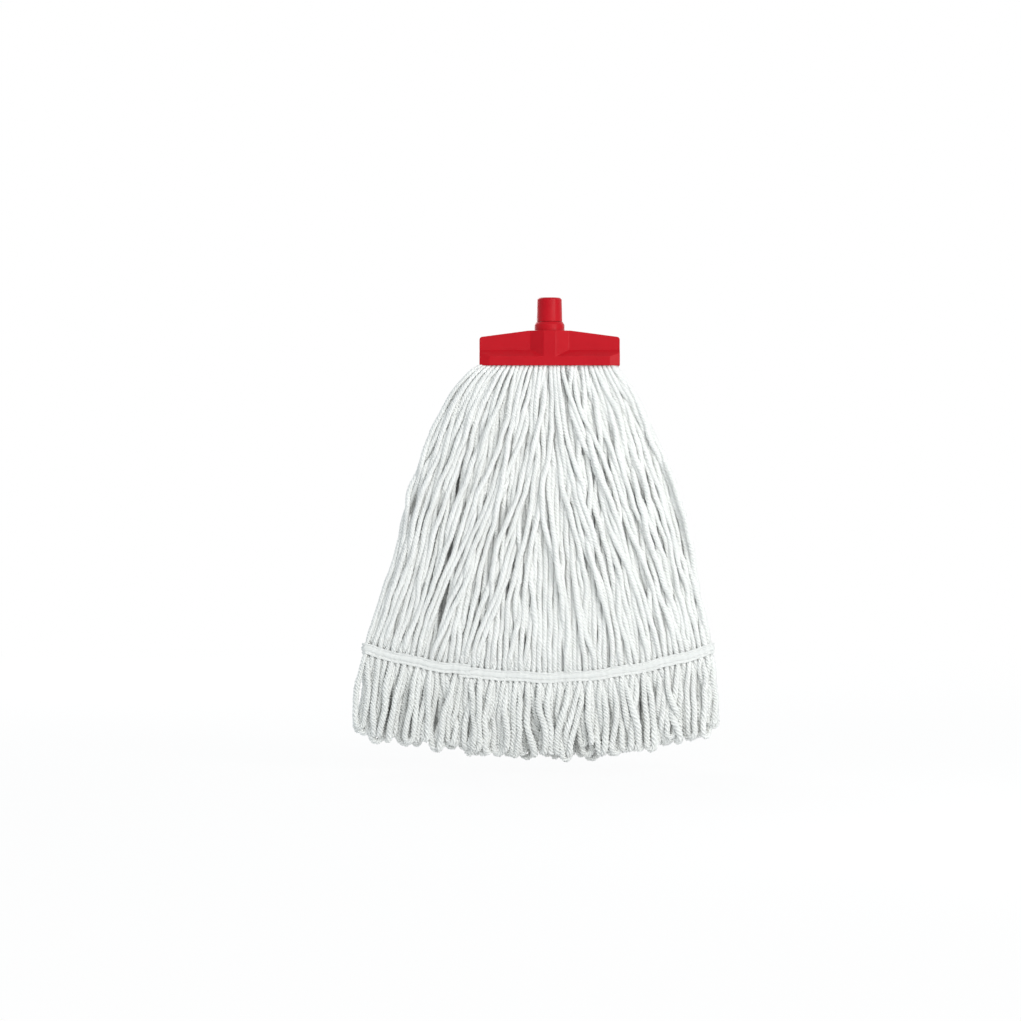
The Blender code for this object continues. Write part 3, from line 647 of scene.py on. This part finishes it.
def new_mesh(name, points, quads, caps, material):
    """A mesh object from arrays of points and four-sided faces, with round faces at its ends."""
    mesh = bpy.data.meshes.new(name)
    mesh.vertices.add(len(points))
    mesh.vertices.foreach_set("co", np.ascontiguousarray(points, np.float32).ravel())
    corners = np.concatenate([quads.ravel(), *caps]).astype(np.int32)
    sizes = np.concatenate([np.full(len(quads), 4), [len(cap) for cap in caps]]).astype(np.int32)
    starts = np.concatenate([[0], np.cumsum(sizes)[:-1]]).astype(np.int32)
    mesh.loops.add(len(corners))
    mesh.loops.foreach_set("vertex_index", corners)
    mesh.polygons.add(len(sizes))
    mesh.polygons.foreach_set("loop_start", starts)
    mesh.update(calc_edges=True)
    mesh.validate()
    mesh.shade_smooth()
    obj = bpy.data.objects.new(name, mesh)
    obj.data.materials.append(material)
    bpy.context.scene.collection.objects.link(obj)
    return obj


def tube_quads(rings, sides):
    """Faces of one tube of rings, each of so many points."""
    ring = np.arange(rings - 1)[:, None] * sides
    side = np.arange(sides)[None]
    after = (side + 1) % sides
    quads = np.stack([ring + side, ring + sides + side, ring + sides + after, ring + after], 2)
    return quads.reshape(-1, 4)


def end_caps(shifts, size, sides):
    """Round faces at both ends of tubes whose points start at the shifts given."""
    side = np.arange(sides)
    return [cap for shift in shifts for cap in (shift + side, shift + size - 1 - side)]


def yarn_loops(layout):
    """Points of every loop's twisted tube, with the lengths along it and the height on its plies."""
    lines, lengths = resampled(layout.loops(), RINGS)
    first, second = carried_frames(lines)
    count = len(lines)
    loop_place = layout.end_place.reshape(-1, 2).mean(1)[:, None]
    radius = YARN_RADIUS * squeezed(MOUTH_Z - lines[:, :, 2], band_drop(loop_place))
    radius *= RANDOM.uniform(*RADIUS_RANGE, (count, 1))
    slub = np.zeros_like(radius)
    twist = 2 * math.pi * lengths / (TWIST_LENGTH * RANDOM.uniform(*TWIST_RANGE, (count, 1)))
    for length, size, turn in SLUBS:
        phase = RANDOM.uniform(0, 2 * math.pi, (count, 1))
        slub += size * np.sin(2 * math.pi * lengths / length + phase)
        twist += turn * np.sin(2 * math.pi * lengths / (SLUB_TWIST_RATIO * length) + 2 * phase)
    radius *= 1 + slub
    below = -lines[:, :, 2] + MOUTH_Z - band_drop(loop_place)
    deeper = smooth((below + DEEPER_FROM) / DEEPER_RUN)
    depth = FAN_PLY_DEPTH + (FRINGE_PLY_DEPTH - FAN_PLY_DEPTH) * deeper
    on_ply = np.abs(np.sin(round_angles(SIDES) * PLIES / 2))
    relief = depth[:, :, None] * (1 - on_ply)
    section = radius[:, :, None] * (1 - relief)
    ply = np.arange(SIDES) * PLIES // SIDES
    for length, size in PLY_WAVES:
        phase = RANDOM.uniform(0, 2 * math.pi, (count, 1, PLIES))
        section *= 1 + size * np.sin(2 * math.pi * lengths[:, :, None] / length + phase)[:, :, ply]
    angle = round_angles(SIDES) + twist[:, :, None]
    across = np.cos(angle)[..., None] * first[:, :, None] + np.sin(angle)[..., None] * second[:, :, None]
    return lines[:, :, None] + section[..., None] * across, lengths, 1 - relief / FRINGE_PLY_DEPTH


def lay_attributes(obj, loops, lengths, heights):
    """Where each point lies round and along its yarn, for the fibres in the material."""
    rows = []
    for number, run in zip(loops, lengths):
        lay = np.empty((RINGS, SIDES, 3), np.float32)
        lay[..., 0] = YARN_RADIUS * np.cos(round_angles(SIDES))
        lay[..., 1] = YARN_RADIUS * np.sin(round_angles(SIDES))
        lay[..., 2] = FIBRE_STRETCH * run[:, None] + number
        rows.append(lay.reshape(-1, 3))
    lay = obj.data.attributes.new("lay", "FLOAT_VECTOR", "POINT")
    lay.data.foreach_set("vector", np.concatenate(rows).ravel())
    # height on the plies, which the yarn material uses to paint shade between them
    ply = obj.data.attributes.new("ply", "FLOAT", "POINT")
    ply.data.foreach_set("value", heights.astype(np.float32).ravel())


def bake_map(obj, count):
    """A map whose strips each hold a stretch of one loop."""
    strips = count * STRIPS_PER_LOOP
    quads_per_loop = (RINGS - 1) * SIDES
    ring = np.repeat(np.arange(RINGS - 1), SIDES)
    side = np.tile(np.arange(SIDES), RINGS - 1)
    run = (RINGS - 1) / STRIPS_PER_LOOP
    strip = np.minimum((ring // run).astype(int), STRIPS_PER_LOOP - 1)
    low = (ring - strip * run) / (run + 1)
    high = (ring + 1 - strip * run) / (run + 1)
    left = STRIP_MARGIN + (1 - 2 * STRIP_MARGIN) * side / SIDES
    right = STRIP_MARGIN + (1 - 2 * STRIP_MARGIN) * (side + 1) / SIDES
    u = np.stack([left, left, right, right], 1)
    v = np.stack([low, high, high, low], 1)
    corners = np.zeros((len(obj.data.loops), 2), np.float32)
    for number in range(count):
        at = slice(number * quads_per_loop * 4, (number + 1) * quads_per_loop * 4)
        corners[at, 0] = ((number * STRIPS_PER_LOOP + strip[:, None] + u) / strips).ravel()
        corners[at, 1] = v.ravel()
    layer = obj.data.uv_layers.new(name="OFBake")
    layer.uv.foreach_set("vector", corners.ravel())


def make_yarn(material):
    """The looped yarn of both sheets, in the groups that are sewn into the tail band."""
    layout = Layout()
    layout.relax()
    layout.add_kinks()
    tubes, lengths, heights = yarn_loops(layout)
    quads = tube_quads(RINGS, SIDES)
    size = RINGS * SIDES
    group_of = np.arange(LOOPS) * GROUPS // LOOPS
    for sheet, start in (("front", 0), ("rear", LOOPS)):
        for group in range(GROUPS):
            members = start + np.flatnonzero(group_of == group)
            shifts = np.arange(len(members)) * size
            points = tubes[members].reshape(-1, 3)
            faces = np.concatenate([quads + shift for shift in shifts])
            name = f"yarn_{sheet}_{group + 1}"
            obj = new_mesh(name, points, faces, end_caps(shifts, size, SIDES), material)
            lay_attributes(obj, members, lengths[members], heights[members])
            bake_map(obj, len(members))
            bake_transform(obj)
            nodes = [f"{sheet}_strings_{group + 1}"]
            if name == "yarn_front_4":
                nodes.append("yarn_root")
            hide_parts(*nodes)


def band_path(side):
    """Points along one tail tape, from one wrapped end to the other; the rear one runs from right to left."""
    place = np.linspace(-1, 1, BAND_SAMPLES)
    x = fan_x(place, band_drop(place))
    z = MOUTH_Z - band_drop(place)
    angle = np.linspace(0, math.pi / 2, TAPE_END_POINTS)[:-1]
    bend_x = TAPE_END_BEND * (1 - np.cos(angle)) - TAPE_END_GAP
    bend_y = TAPE_OFFSET * np.sin(angle)
    left_x, right_x = x[0] + bend_x, x[-1] - bend_x
    keep = (x > left_x[-1] + TAPE_END_MARGIN) & (x < right_x[-1] - TAPE_END_MARGIN)
    xs = np.concatenate([left_x, x[keep], right_x[::-1]])
    ys = np.concatenate([bend_y, np.full(keep.sum(), TAPE_OFFSET), bend_y[::-1]])
    zs = np.concatenate([np.full(len(angle), z[0]), z[keep], np.full(len(angle), z[-1])])
    line = np.stack([xs, side * ys, zs], 1)
    return line if side < 0 else line[::-1]


def lapped(line):
    """Two lengths of tape that lap at a join, each with how far it is lifted there."""
    reach = (line[:, 0] - TAPE_JOIN_X) / JOIN_RUN
    near = smooth(1 - np.abs(reach))
    left = line[:, 0] < TAPE_JOIN_X + JOIN_LAP / 2
    right = line[:, 0] > TAPE_JOIN_X - JOIN_LAP / 2
    over, under = line[left].copy(), line[right].copy()
    over[:, 2] += JOIN_RISE * near[left]
    under[:, 2] -= JOIN_DROP * near[right]
    return [(over, JOIN_LIFT * near[left]), (under, -JOIN_SINK * near[right])]


def ripple(run, parts):
    """A sum of sines along a tape, each given by its size, length and phase."""
    return sum(size * np.sin(2 * math.pi * run / length + phase) for size, length, phase in parts)


def ribbon(line, lift):
    """Outer and inner grids of a tape that stands along a line, puckered by its stitches."""
    run = run_along(line)
    across = np.linspace(-0.5, 0.5, TAPE_COLUMNS) * TAPE_HEIGHT
    along = unit(np.gradient(line, axis=0))
    out = unit(np.cross(along, (0.0, 0.0, 1.0)))
    up = unit(np.cross(out, along))
    to_edge = (2 * across / TAPE_HEIGHT) ** 2
    groove = sum(bell(across, row, GROOVE_WIDTH) for row in (-STITCH_ROW, STITCH_ROW))
    rise = ripple(run, PUCKER)[:, None] * (1 - EDGE_CALM * to_edge) + (ripple(run, DRIFT) + lift)[:, None]
    rise = rise - EDGE_FALL * to_edge - GROOVE_DEPTH * groove
    height = across + ripple(run, SWAY)[:, None]
    outer = line[:, None] + up[:, None] * height[..., None] + out[:, None] * rise[..., None]
    inner = outer - out[:, None] * TAPE_THICKNESS
    return outer, inner, out, run, across


def ribbon_faces(rows, columns):
    """Faces that close the two grids of a ribbon into one thin solid."""
    index = np.arange(rows * columns).reshape(rows, columns)
    back = index + rows * columns
    grid = np.stack([index[:-1, :-1], index[1:, :-1], index[1:, 1:], index[:-1, 1:]], 2).reshape(-1, 4)
    faces = [grid, (grid + rows * columns)[:, ::-1]]
    for edge, behind in (
        (index[:, 0], back[:, 0]),
        (index[-1], back[-1]),
        (index[::-1, -1], back[::-1, -1]),
        (index[0, ::-1], back[0, ::-1]),
    ):
        faces.append(np.stack([edge[:-1], behind[:-1], behind[1:], edge[1:]], 1))
    return np.concatenate(faces)


def row_line(outer, across, row):
    """The line on a tape's outer face at one distance across it."""
    column = np.interp(row, across, np.arange(len(across)))
    low = min(int(column), len(across) - 2)
    return outer[:, low] * (low + 1 - column) + outer[:, low + 1] * (column - low)


def stitches(line, out):
    """Tubes of short thread stitches that lie along a line and dip into the cloth at their ends."""
    run = run_along(line)
    angle = round_angles(STITCH_SIDES)
    bow = np.sin(np.linspace(0, math.pi, STITCH_RINGS))
    tubes = []
    for start in np.arange(STITCH_FIRST, run[-1] - STITCH_LAST, STITCH_PITCH):
        at = np.linspace(start, start + STITCH_SHARE * STITCH_PITCH, STITCH_RINGS)
        middle = np.stack([np.interp(at, run, line[:, axis]) for axis in range(3)], 1)
        away = np.stack([np.interp(at, run, out[:, axis]) for axis in range(3)], 1)
        middle = middle + away * (THREAD_RADIUS * (STITCH_BOW * bow - STITCH_SINK))[:, None]
        beside = unit(np.cross(unit(np.gradient(middle, axis=0)), away))
        ring = np.cos(angle)[None, :, None] * beside[:, None] + np.sin(angle)[None, :, None] * away[:, None]
        tubes.append((middle[:, None] + THREAD_RADIUS * ring).reshape(-1, 3))
    return tubes


def make_sewing(name, tubes, material, body):
    """All stitches of one tape as one piece."""
    size = STITCH_RINGS * STITCH_SIDES
    shifts = np.arange(len(tubes)) * size
    quads = tube_quads(STITCH_RINGS, STITCH_SIDES)
    faces = np.concatenate([quads + shift for shift in shifts])
    sewing = new_mesh(name, np.concatenate(tubes), faces, end_caps(shifts, size, STITCH_SIDES), material)
    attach(sewing, body)
    return sewing


def make_woven(name, strips, material, body, node):
    """Strips of tape as one piece, each given as its two grids and the distances along and across."""
    points, faces, weave = [], [], []
    count = 0
    for outer, inner, run, across in strips:
        faces.append(ribbon_faces(*outer.shape[:2]) + count)
        points += [outer.reshape(-1, 3), inner.reshape(-1, 3)]
        count += 2 * outer.shape[0] * outer.shape[1]
        lay = np.zeros(outer.shape, np.float32)
        lay[..., 0] = run[:, None]
        lay[..., 1] = across
        weave += [lay.reshape(-1, 3)] * 2
    tape = new_mesh(name, np.concatenate(points), np.concatenate(faces), [], material)
    tape.data.set_sharp_from_angle(angle=math.radians(SHARP_ANGLE))
    attribute = tape.data.attributes.new("weave", "FLOAT_VECTOR", "POINT")
    attribute.data.foreach_set("vector", np.concatenate(weave).ravel())
    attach(tape, body)
    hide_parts(node)
    return tape


def make_tail_tape(side, sheet, woven, thread):
    """One tape of the tail band: two lengths that lap at a join on the front, one length on the rear."""
    line = band_path(side)
    strips, tubes = [], []
    for path, lift in lapped(line) if side < 0 else [(line, np.zeros(len(line)))]:
        outer, inner, out, run, across = ribbon(path, lift)
        strips.append((outer, inner, run, across))
        for row in (-STITCH_ROW, STITCH_ROW):
            tubes += stitches(row_line(outer, across, row), out)
    name = f"tail_tape_{sheet}"
    tape = make_woven(name, strips, woven, "skirt", f"tail_band_{sheet}")
    sewing = make_sewing(name + "_stitches", tubes, thread, "skirt")


def make_headband(woven, thread):
    """Canvas folded over the clamped end of the yarn, sewn through with two rows of stitches."""
    angle = np.linspace(0, math.pi / 2, FOLD_POINTS)
    fold_z = HEADBAND_HIGH.z - HEADBAND_FOLD
    rise = np.linspace(HEADBAND_LOW.z, fold_z, SIDE_POINTS)[:-1]
    half_y = np.concatenate([np.zeros(len(rise)), HEADBAND_FOLD * (1 - np.cos(angle))]) - HEADBAND_HIGH.y
    half_z = np.concatenate([rise, HEADBAND_HIGH.z - HEADBAND_FOLD * (1 - np.sin(angle))])
    profile = np.stack([np.zeros(2 * len(half_y)), [*half_y, *-half_y[::-1]], [*half_z, *half_z[::-1]]], 1)
    x = np.linspace(HEADBAND_LOW.x, HEADBAND_HIGH.x, HEADBAND_SAMPLES)
    across = run_along(profile)
    inward = unit(np.cross(np.gradient(profile, axis=0), (1.0, 0.0, 0.0)))
    ripples = np.sin(2 * math.pi * x / RIPPLE_LENGTH)[:, None] * np.sin(across / RIPPLE_WIDTH)
    outer = profile[None] + inward[None] * (RIPPLE_SIZE * (1 + ripples))[..., None]
    outer[..., 0] += x[:, None]
    inner = outer + inward[None] * HEADBAND_THICKNESS
    tape = make_woven("headband_canvas", [(outer, inner, x - x[0], across)], woven, "head", "headband_tape")
    tubes = []
    for row in HEADBAND_ROWS:
        for place, facing in ((row, -1.0), (across[-1] - row, 1.0)):
            out = np.tile((0.0, facing, 0.0), (len(x), 1))
            tubes += stitches(row_line(outer, across, place)[:: int(-facing)], out)
    sewing = make_sewing("headband_stitches", tubes, thread, "head")


class Nodes:
    """A short way to build a material's nodes."""

    def __init__(self, name, colour, roughness):
        self.material = bpy.data.materials.new(name)
        self.material.use_nodes = True
        self.tree = self.material.node_tree
        self.shader = self.tree.nodes["Principled BSDF"]
        self.set_inputs({"Base Color": (*colour, 1), "Roughness": roughness})

    def set_inputs(self, values):
        for key, value in values.items():
            self.shader.inputs[key].default_value = value

    def add(self, kind, **values):
        node = self.tree.nodes.new("ShaderNode" + kind)
        for key, value in values.items():
            if hasattr(node, key):
                setattr(node, key, value)
            else:
                node.inputs[key].default_value = value
        return node

    def link(self, out, into):
        self.tree.links.new(out, into)

    def attribute(self, name, output):
        return self.add("Attribute", attribute_name=name).outputs[output]

    def object_place(self):
        return self.add("TexCoord").outputs["Object"]

    def noise(self, vector, scale, detail=3.0, rough=0.5):
        node = self.add("TexNoise", Scale=scale, Detail=detail, Roughness=rough)
        self.link(vector, node.inputs["Vector"])
        return node.outputs["Fac"]

    def span(self, value, low, high, start=0.0, end=1.0):
        """A value's range start to end, taken to low to high."""
        node = self.add("MapRange")
        self.link(value, node.inputs["Value"])
        for key, number in (("From Min", start), ("From Max", end), ("To Min", low), ("To Max", high)):
            node.inputs[key].default_value = number
        return node.outputs["Result"]

    def maths(self, operation, first, second):
        node = self.add("Math", operation=operation)
        for socket, value in zip(node.inputs, (first, second)):
            if isinstance(value, (int, float)):
                socket.default_value = value
            else:
                self.link(value, socket)
        return node.outputs["Value"]

    def mixed(self, share, first, second):
        """Two colours mixed by a share."""
        node = self.add("Mix", data_type="RGBA")
        self.link(share, node.inputs["Factor"])
        for socket, colour in ((node.inputs[6], first), (node.inputs[7], second)):
            if isinstance(colour, tuple):
                socket.default_value = (*colour, 1)
            else:
                self.link(colour, socket)
        return node.outputs[2]

    def clouded(self, cloud, dull, bright):
        """Two tones in soft patches."""
        return self.mixed(self.span(cloud, low=0, high=1, start=0.3, end=0.7), dull, bright)

    def bump(self, height, strength, distance):
        node = self.add("Bump", Strength=strength, Distance=distance)
        self.link(height, node.inputs["Height"])
        self.link(node.outputs["Normal"], self.shader.inputs["Normal"])


def yarn_material():
    """White plied yarn: streaks of fibre along each ply, with painted shade between the plies."""
    n = Nodes("yarn_white", colour=(0.92, 0.92, 0.895), roughness=0.92)
    n.set_inputs(
        {
            "Subsurface Weight": 0.5,
            "Subsurface Radius": (1.0, 1.0, 1.0),
            "Subsurface Scale": 0.0015,
            "Sheen Weight": 0.15,
            "Sheen Roughness": 0.6,
            "Specular IOR Level": LOW_GLOSS,
        }
    )
    dull, bright = (0.90, 0.905, 0.88), (0.94, 0.94, 0.915)
    streak, painted_ply_shade = (0.955, 0.955, 0.935), (0.83, 0.835, 0.81)
    lay = n.attribute("lay", "Vector")
    ply = n.attribute("ply", "Fac")
    fibre = n.noise(lay, scale=1700, detail=4.0, rough=0.6)
    tone = n.clouded(n.noise(lay, scale=60, detail=2.0), dull, bright)
    streaked = n.mixed(n.span(fibre, low=0.0, high=0.35, start=0.35, end=0.75), tone, streak)
    # painted shade: the colour darkens towards the valleys between the plies, led by the height on the plies
    colour = n.mixed(n.span(ply, low=0.0, high=1.0, start=0.0, end=0.6), painted_ply_shade, streaked)
    n.link(colour, n.shader.inputs["Base Color"])
    n.bump(fibre, strength=0.5, distance=0.0005)
    return n.material


def tape_material():
    """Woven cotton tape: a plain weave over and under, with uneven yarns and a painted highlight on the raised
    crossings.
    """
    n = Nodes("woven_tape", colour=(0.87, 0.87, 0.85), roughness=0.9)
    n.set_inputs({"Specular IOR Level": LOW_GLOSS})
    dull, bright = (0.85, 0.855, 0.835), (0.90, 0.90, 0.88)
    painted_weave_highlight = (0.93, 0.93, 0.91)
    place = n.attribute("weave", "Vector")
    axes = n.add("SeparateXYZ")
    n.link(place, axes.inputs["Vector"])
    over, under = (
        n.maths("SINE", n.maths("MULTIPLY", axes.outputs[axis], 2 * math.pi / pitch), 0)
        for axis, pitch in zip("XY", WEAVE_PITCH)
    )
    weave = n.span(n.maths("MULTIPLY", over, under), low=0, high=1, start=-1, end=1)
    tone = n.clouded(n.noise(place, scale=90), dull, bright)
    # painted highlight: the colour lightens where the weave stands highest
    n.link(n.mixed(n.span(weave, low=0.0, high=0.5), tone, painted_weave_highlight), n.shader.inputs["Base Color"])
    n.bump(weave, strength=0.6, distance=0.0004)
    return n.material


def thread_material():
    """White sewing thread with a fine twist."""
    n = Nodes("sewing_thread", colour=(0.88, 0.88, 0.87), roughness=0.7)
    dull, bright = (0.80, 0.805, 0.80), (0.92, 0.92, 0.91)
    twist = n.noise(n.object_place(), scale=2200)
    n.link(n.mixed(twist, dull, bright), n.shader.inputs["Base Color"])
    n.bump(twist, strength=0.4, distance=0.0002)
    return n.material


def plastic_material():
    """Injection moulded red plastic with a faint texture and rubbed patches."""
    n = Nodes("moulded_red", colour=(0.50, 0.003, 0.011), roughness=0.36)
    n.set_inputs({"Specular IOR Level": LOW_GLOSS})
    deep, bright = (0.48, 0.002, 0.010), (0.52, 0.004, 0.012)
    place = n.object_place()
    cloud = n.noise(place, scale=38, detail=4.0)
    grain = n.noise(place, scale=2600, detail=2.0)
    scuff = n.noise(place, scale=240, detail=6.0, rough=0.7)
    n.link(n.clouded(cloud, deep, bright), n.shader.inputs["Base Color"])
    rubbed = n.span(scuff, low=0.28, high=0.40, start=0.35, end=0.65)
    patches = n.span(cloud, low=-0.03, high=0.05, start=0.3, end=0.7)
    n.link(n.maths("ADD", rubbed, patches), n.shader.inputs["Roughness"])
    n.bump(grain, strength=0.12, distance=0.0002)
    return n.material


def nylon_material():
    """Undyed nylon of the dowels, in uneven pale tones."""
    n = Nodes("natural_nylon", colour=(0.70, 0.68, 0.61), roughness=0.5)
    dull, bright = (0.66, 0.64, 0.57), (0.74, 0.72, 0.66)
    cloud = n.noise(n.object_place(), scale=300)
    n.link(n.mixed(cloud, dull, bright), n.shader.inputs["Base Color"])
    n.link(n.span(cloud, low=0.42, high=0.56), n.shader.inputs["Roughness"])
    return n.material


def finish_head():
    """The CAD shells, spigot and pins keep their shapes and take moulded finishes."""
    red = plastic_material()
    nylon = nylon_material()
    for name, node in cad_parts.items():
        if name in ("front_shell", "rear_shell", "handle_spigot"):
            node.data.materials.clear()
            node.data.materials.append(red)
        elif name.startswith("headband_pin"):
            node.data.materials.clear()
            node.data.materials.append(nylon)


def seen_rays(tree):
    """1 for rays that see the stage itself, and 0 for those that it lights things by."""
    rays = tree.nodes.new("ShaderNodeLightPath")
    seen = rays.outputs["Is Camera Ray"]
    for kind in ("Is Glossy Ray", "Is Transmission Ray"):
        larger = tree.nodes.new("ShaderNodeMath")
        larger.operation = "MAXIMUM"
        tree.links.new(seen, larger.inputs[0])
        tree.links.new(rays.outputs[kind], larger.inputs[1])
        seen = larger.outputs["Value"]
    return seen


def make_stage():
    """A wide pale floor, white to the camera but for the shadow close to the object."""
    angles = np.linspace(0, 2 * math.pi, FLOOR_SIDES, endpoint=False)
    mesh = bpy.data.meshes.new("floor")
    points = [(FLOOR_RADIUS * math.cos(a), FLOOR_RADIUS * math.sin(a), FLOOR_Z) for a in angles]
    mesh.from_pydata(points, [], [tuple(range(FLOOR_SIDES))])
    floor = bpy.data.objects.new("floor", mesh)
    bpy.context.scene.collection.objects.link(floor)
    n = Nodes("pale_paper", colour=(0.9, 0.9, 0.9), roughness=0.9)
    n.set_inputs({"Specular IOR Level": 0.0})
    glow = n.add("Emission", Strength=1.0)
    glow.inputs["Color"].default_value = WHITE
    away = n.add("VectorMath", operation="LENGTH")
    n.link(n.object_place(), away.inputs[0])
    white = n.span(away.outputs["Value"], FLOOR_WHITE_NEAR, 1.0, *FLOOR_FADE)
    mix = n.add("MixShader")
    n.link(n.maths("MULTIPLY", seen_rays(n.tree), white), mix.inputs["Fac"])
    n.link(n.shader.outputs["BSDF"], mix.inputs[1])
    n.link(glow.outputs["Emission"], mix.inputs[2])
    n.link(mix.outputs["Shader"], n.tree.nodes["Material Output"].inputs["Surface"])
    mesh.materials.append(n.material)


def make_world():
    """Pale light from all round, seen as plain white."""
    world = bpy.data.worlds.new("studio")
    world.use_nodes = True
    tree = world.node_tree
    light = tree.nodes["Background"]
    light.inputs["Color"].default_value = WORLD_COLOUR
    light.inputs["Strength"].default_value = WORLD_STRENGTH
    white = tree.nodes.new("ShaderNodeBackground")
    white.inputs["Color"].default_value = WHITE
    white.inputs["Strength"].default_value = 1.0
    mix = tree.nodes.new("ShaderNodeMixShader")
    tree.links.new(seen_rays(tree), mix.inputs["Fac"])
    tree.links.new(light.outputs["Background"], mix.inputs[1])
    tree.links.new(white.outputs["Background"], mix.inputs[2])
    tree.links.new(mix.outputs["Shader"], tree.nodes["World Output"].inputs["Surface"])
    bpy.context.scene.world = world


def make_light():
    """A tall soft key from the right, and broad lights from the front and from behind."""
    for name, (place, target, (width, height), power, colour) in LAMPS.items():
        lamp = bpy.data.lights.new(name, "AREA")
        lamp.shape = "RECTANGLE"
        lamp.size = width
        lamp.size_y = height
        lamp.energy = power
        lamp.color = colour
        obj = bpy.data.objects.new(name, lamp)
        obj.location = place
        obj.rotation_euler = (Vector(target) - Vector(place)).to_track_quat("-Z", "Y").to_euler()
        bpy.context.scene.collection.objects.link(obj)


def make_camera():
    """Level, square to the front, with one pixel to the millimetre at the head."""
    data = bpy.data.cameras.new("photo_view")
    data.sensor_width = SENSOR_WIDTH
    data.lens = SENSOR_WIDTH * CAMERA_DISTANCE / (IMAGE_SIDE * PIXEL)
    camera = bpy.data.objects.new("photo_view", data)
    middle = IMAGE_SIDE / 2
    camera.location = ((middle - AXIS_COLUMN) * PIXEL, -CAMERA_DISTANCE, (ORIGIN_ROW - middle) * PIXEL)
    camera.rotation_euler = (math.pi / 2, 0, 0)
    bpy.context.scene.collection.objects.link(camera)
    bpy.context.scene.camera = camera


make_camera()
make_light()
make_world()
make_stage()
finish_head()
make_yarn(yarn_material())
woven = tape_material()
thread = thread_material()
make_tail_tape(-1, "front", woven, thread)
make_tail_tape(1, "rear", woven, thread)
make_headband(woven, thread)
bpy.context.scene.view_settings.view_transform = "Standard"
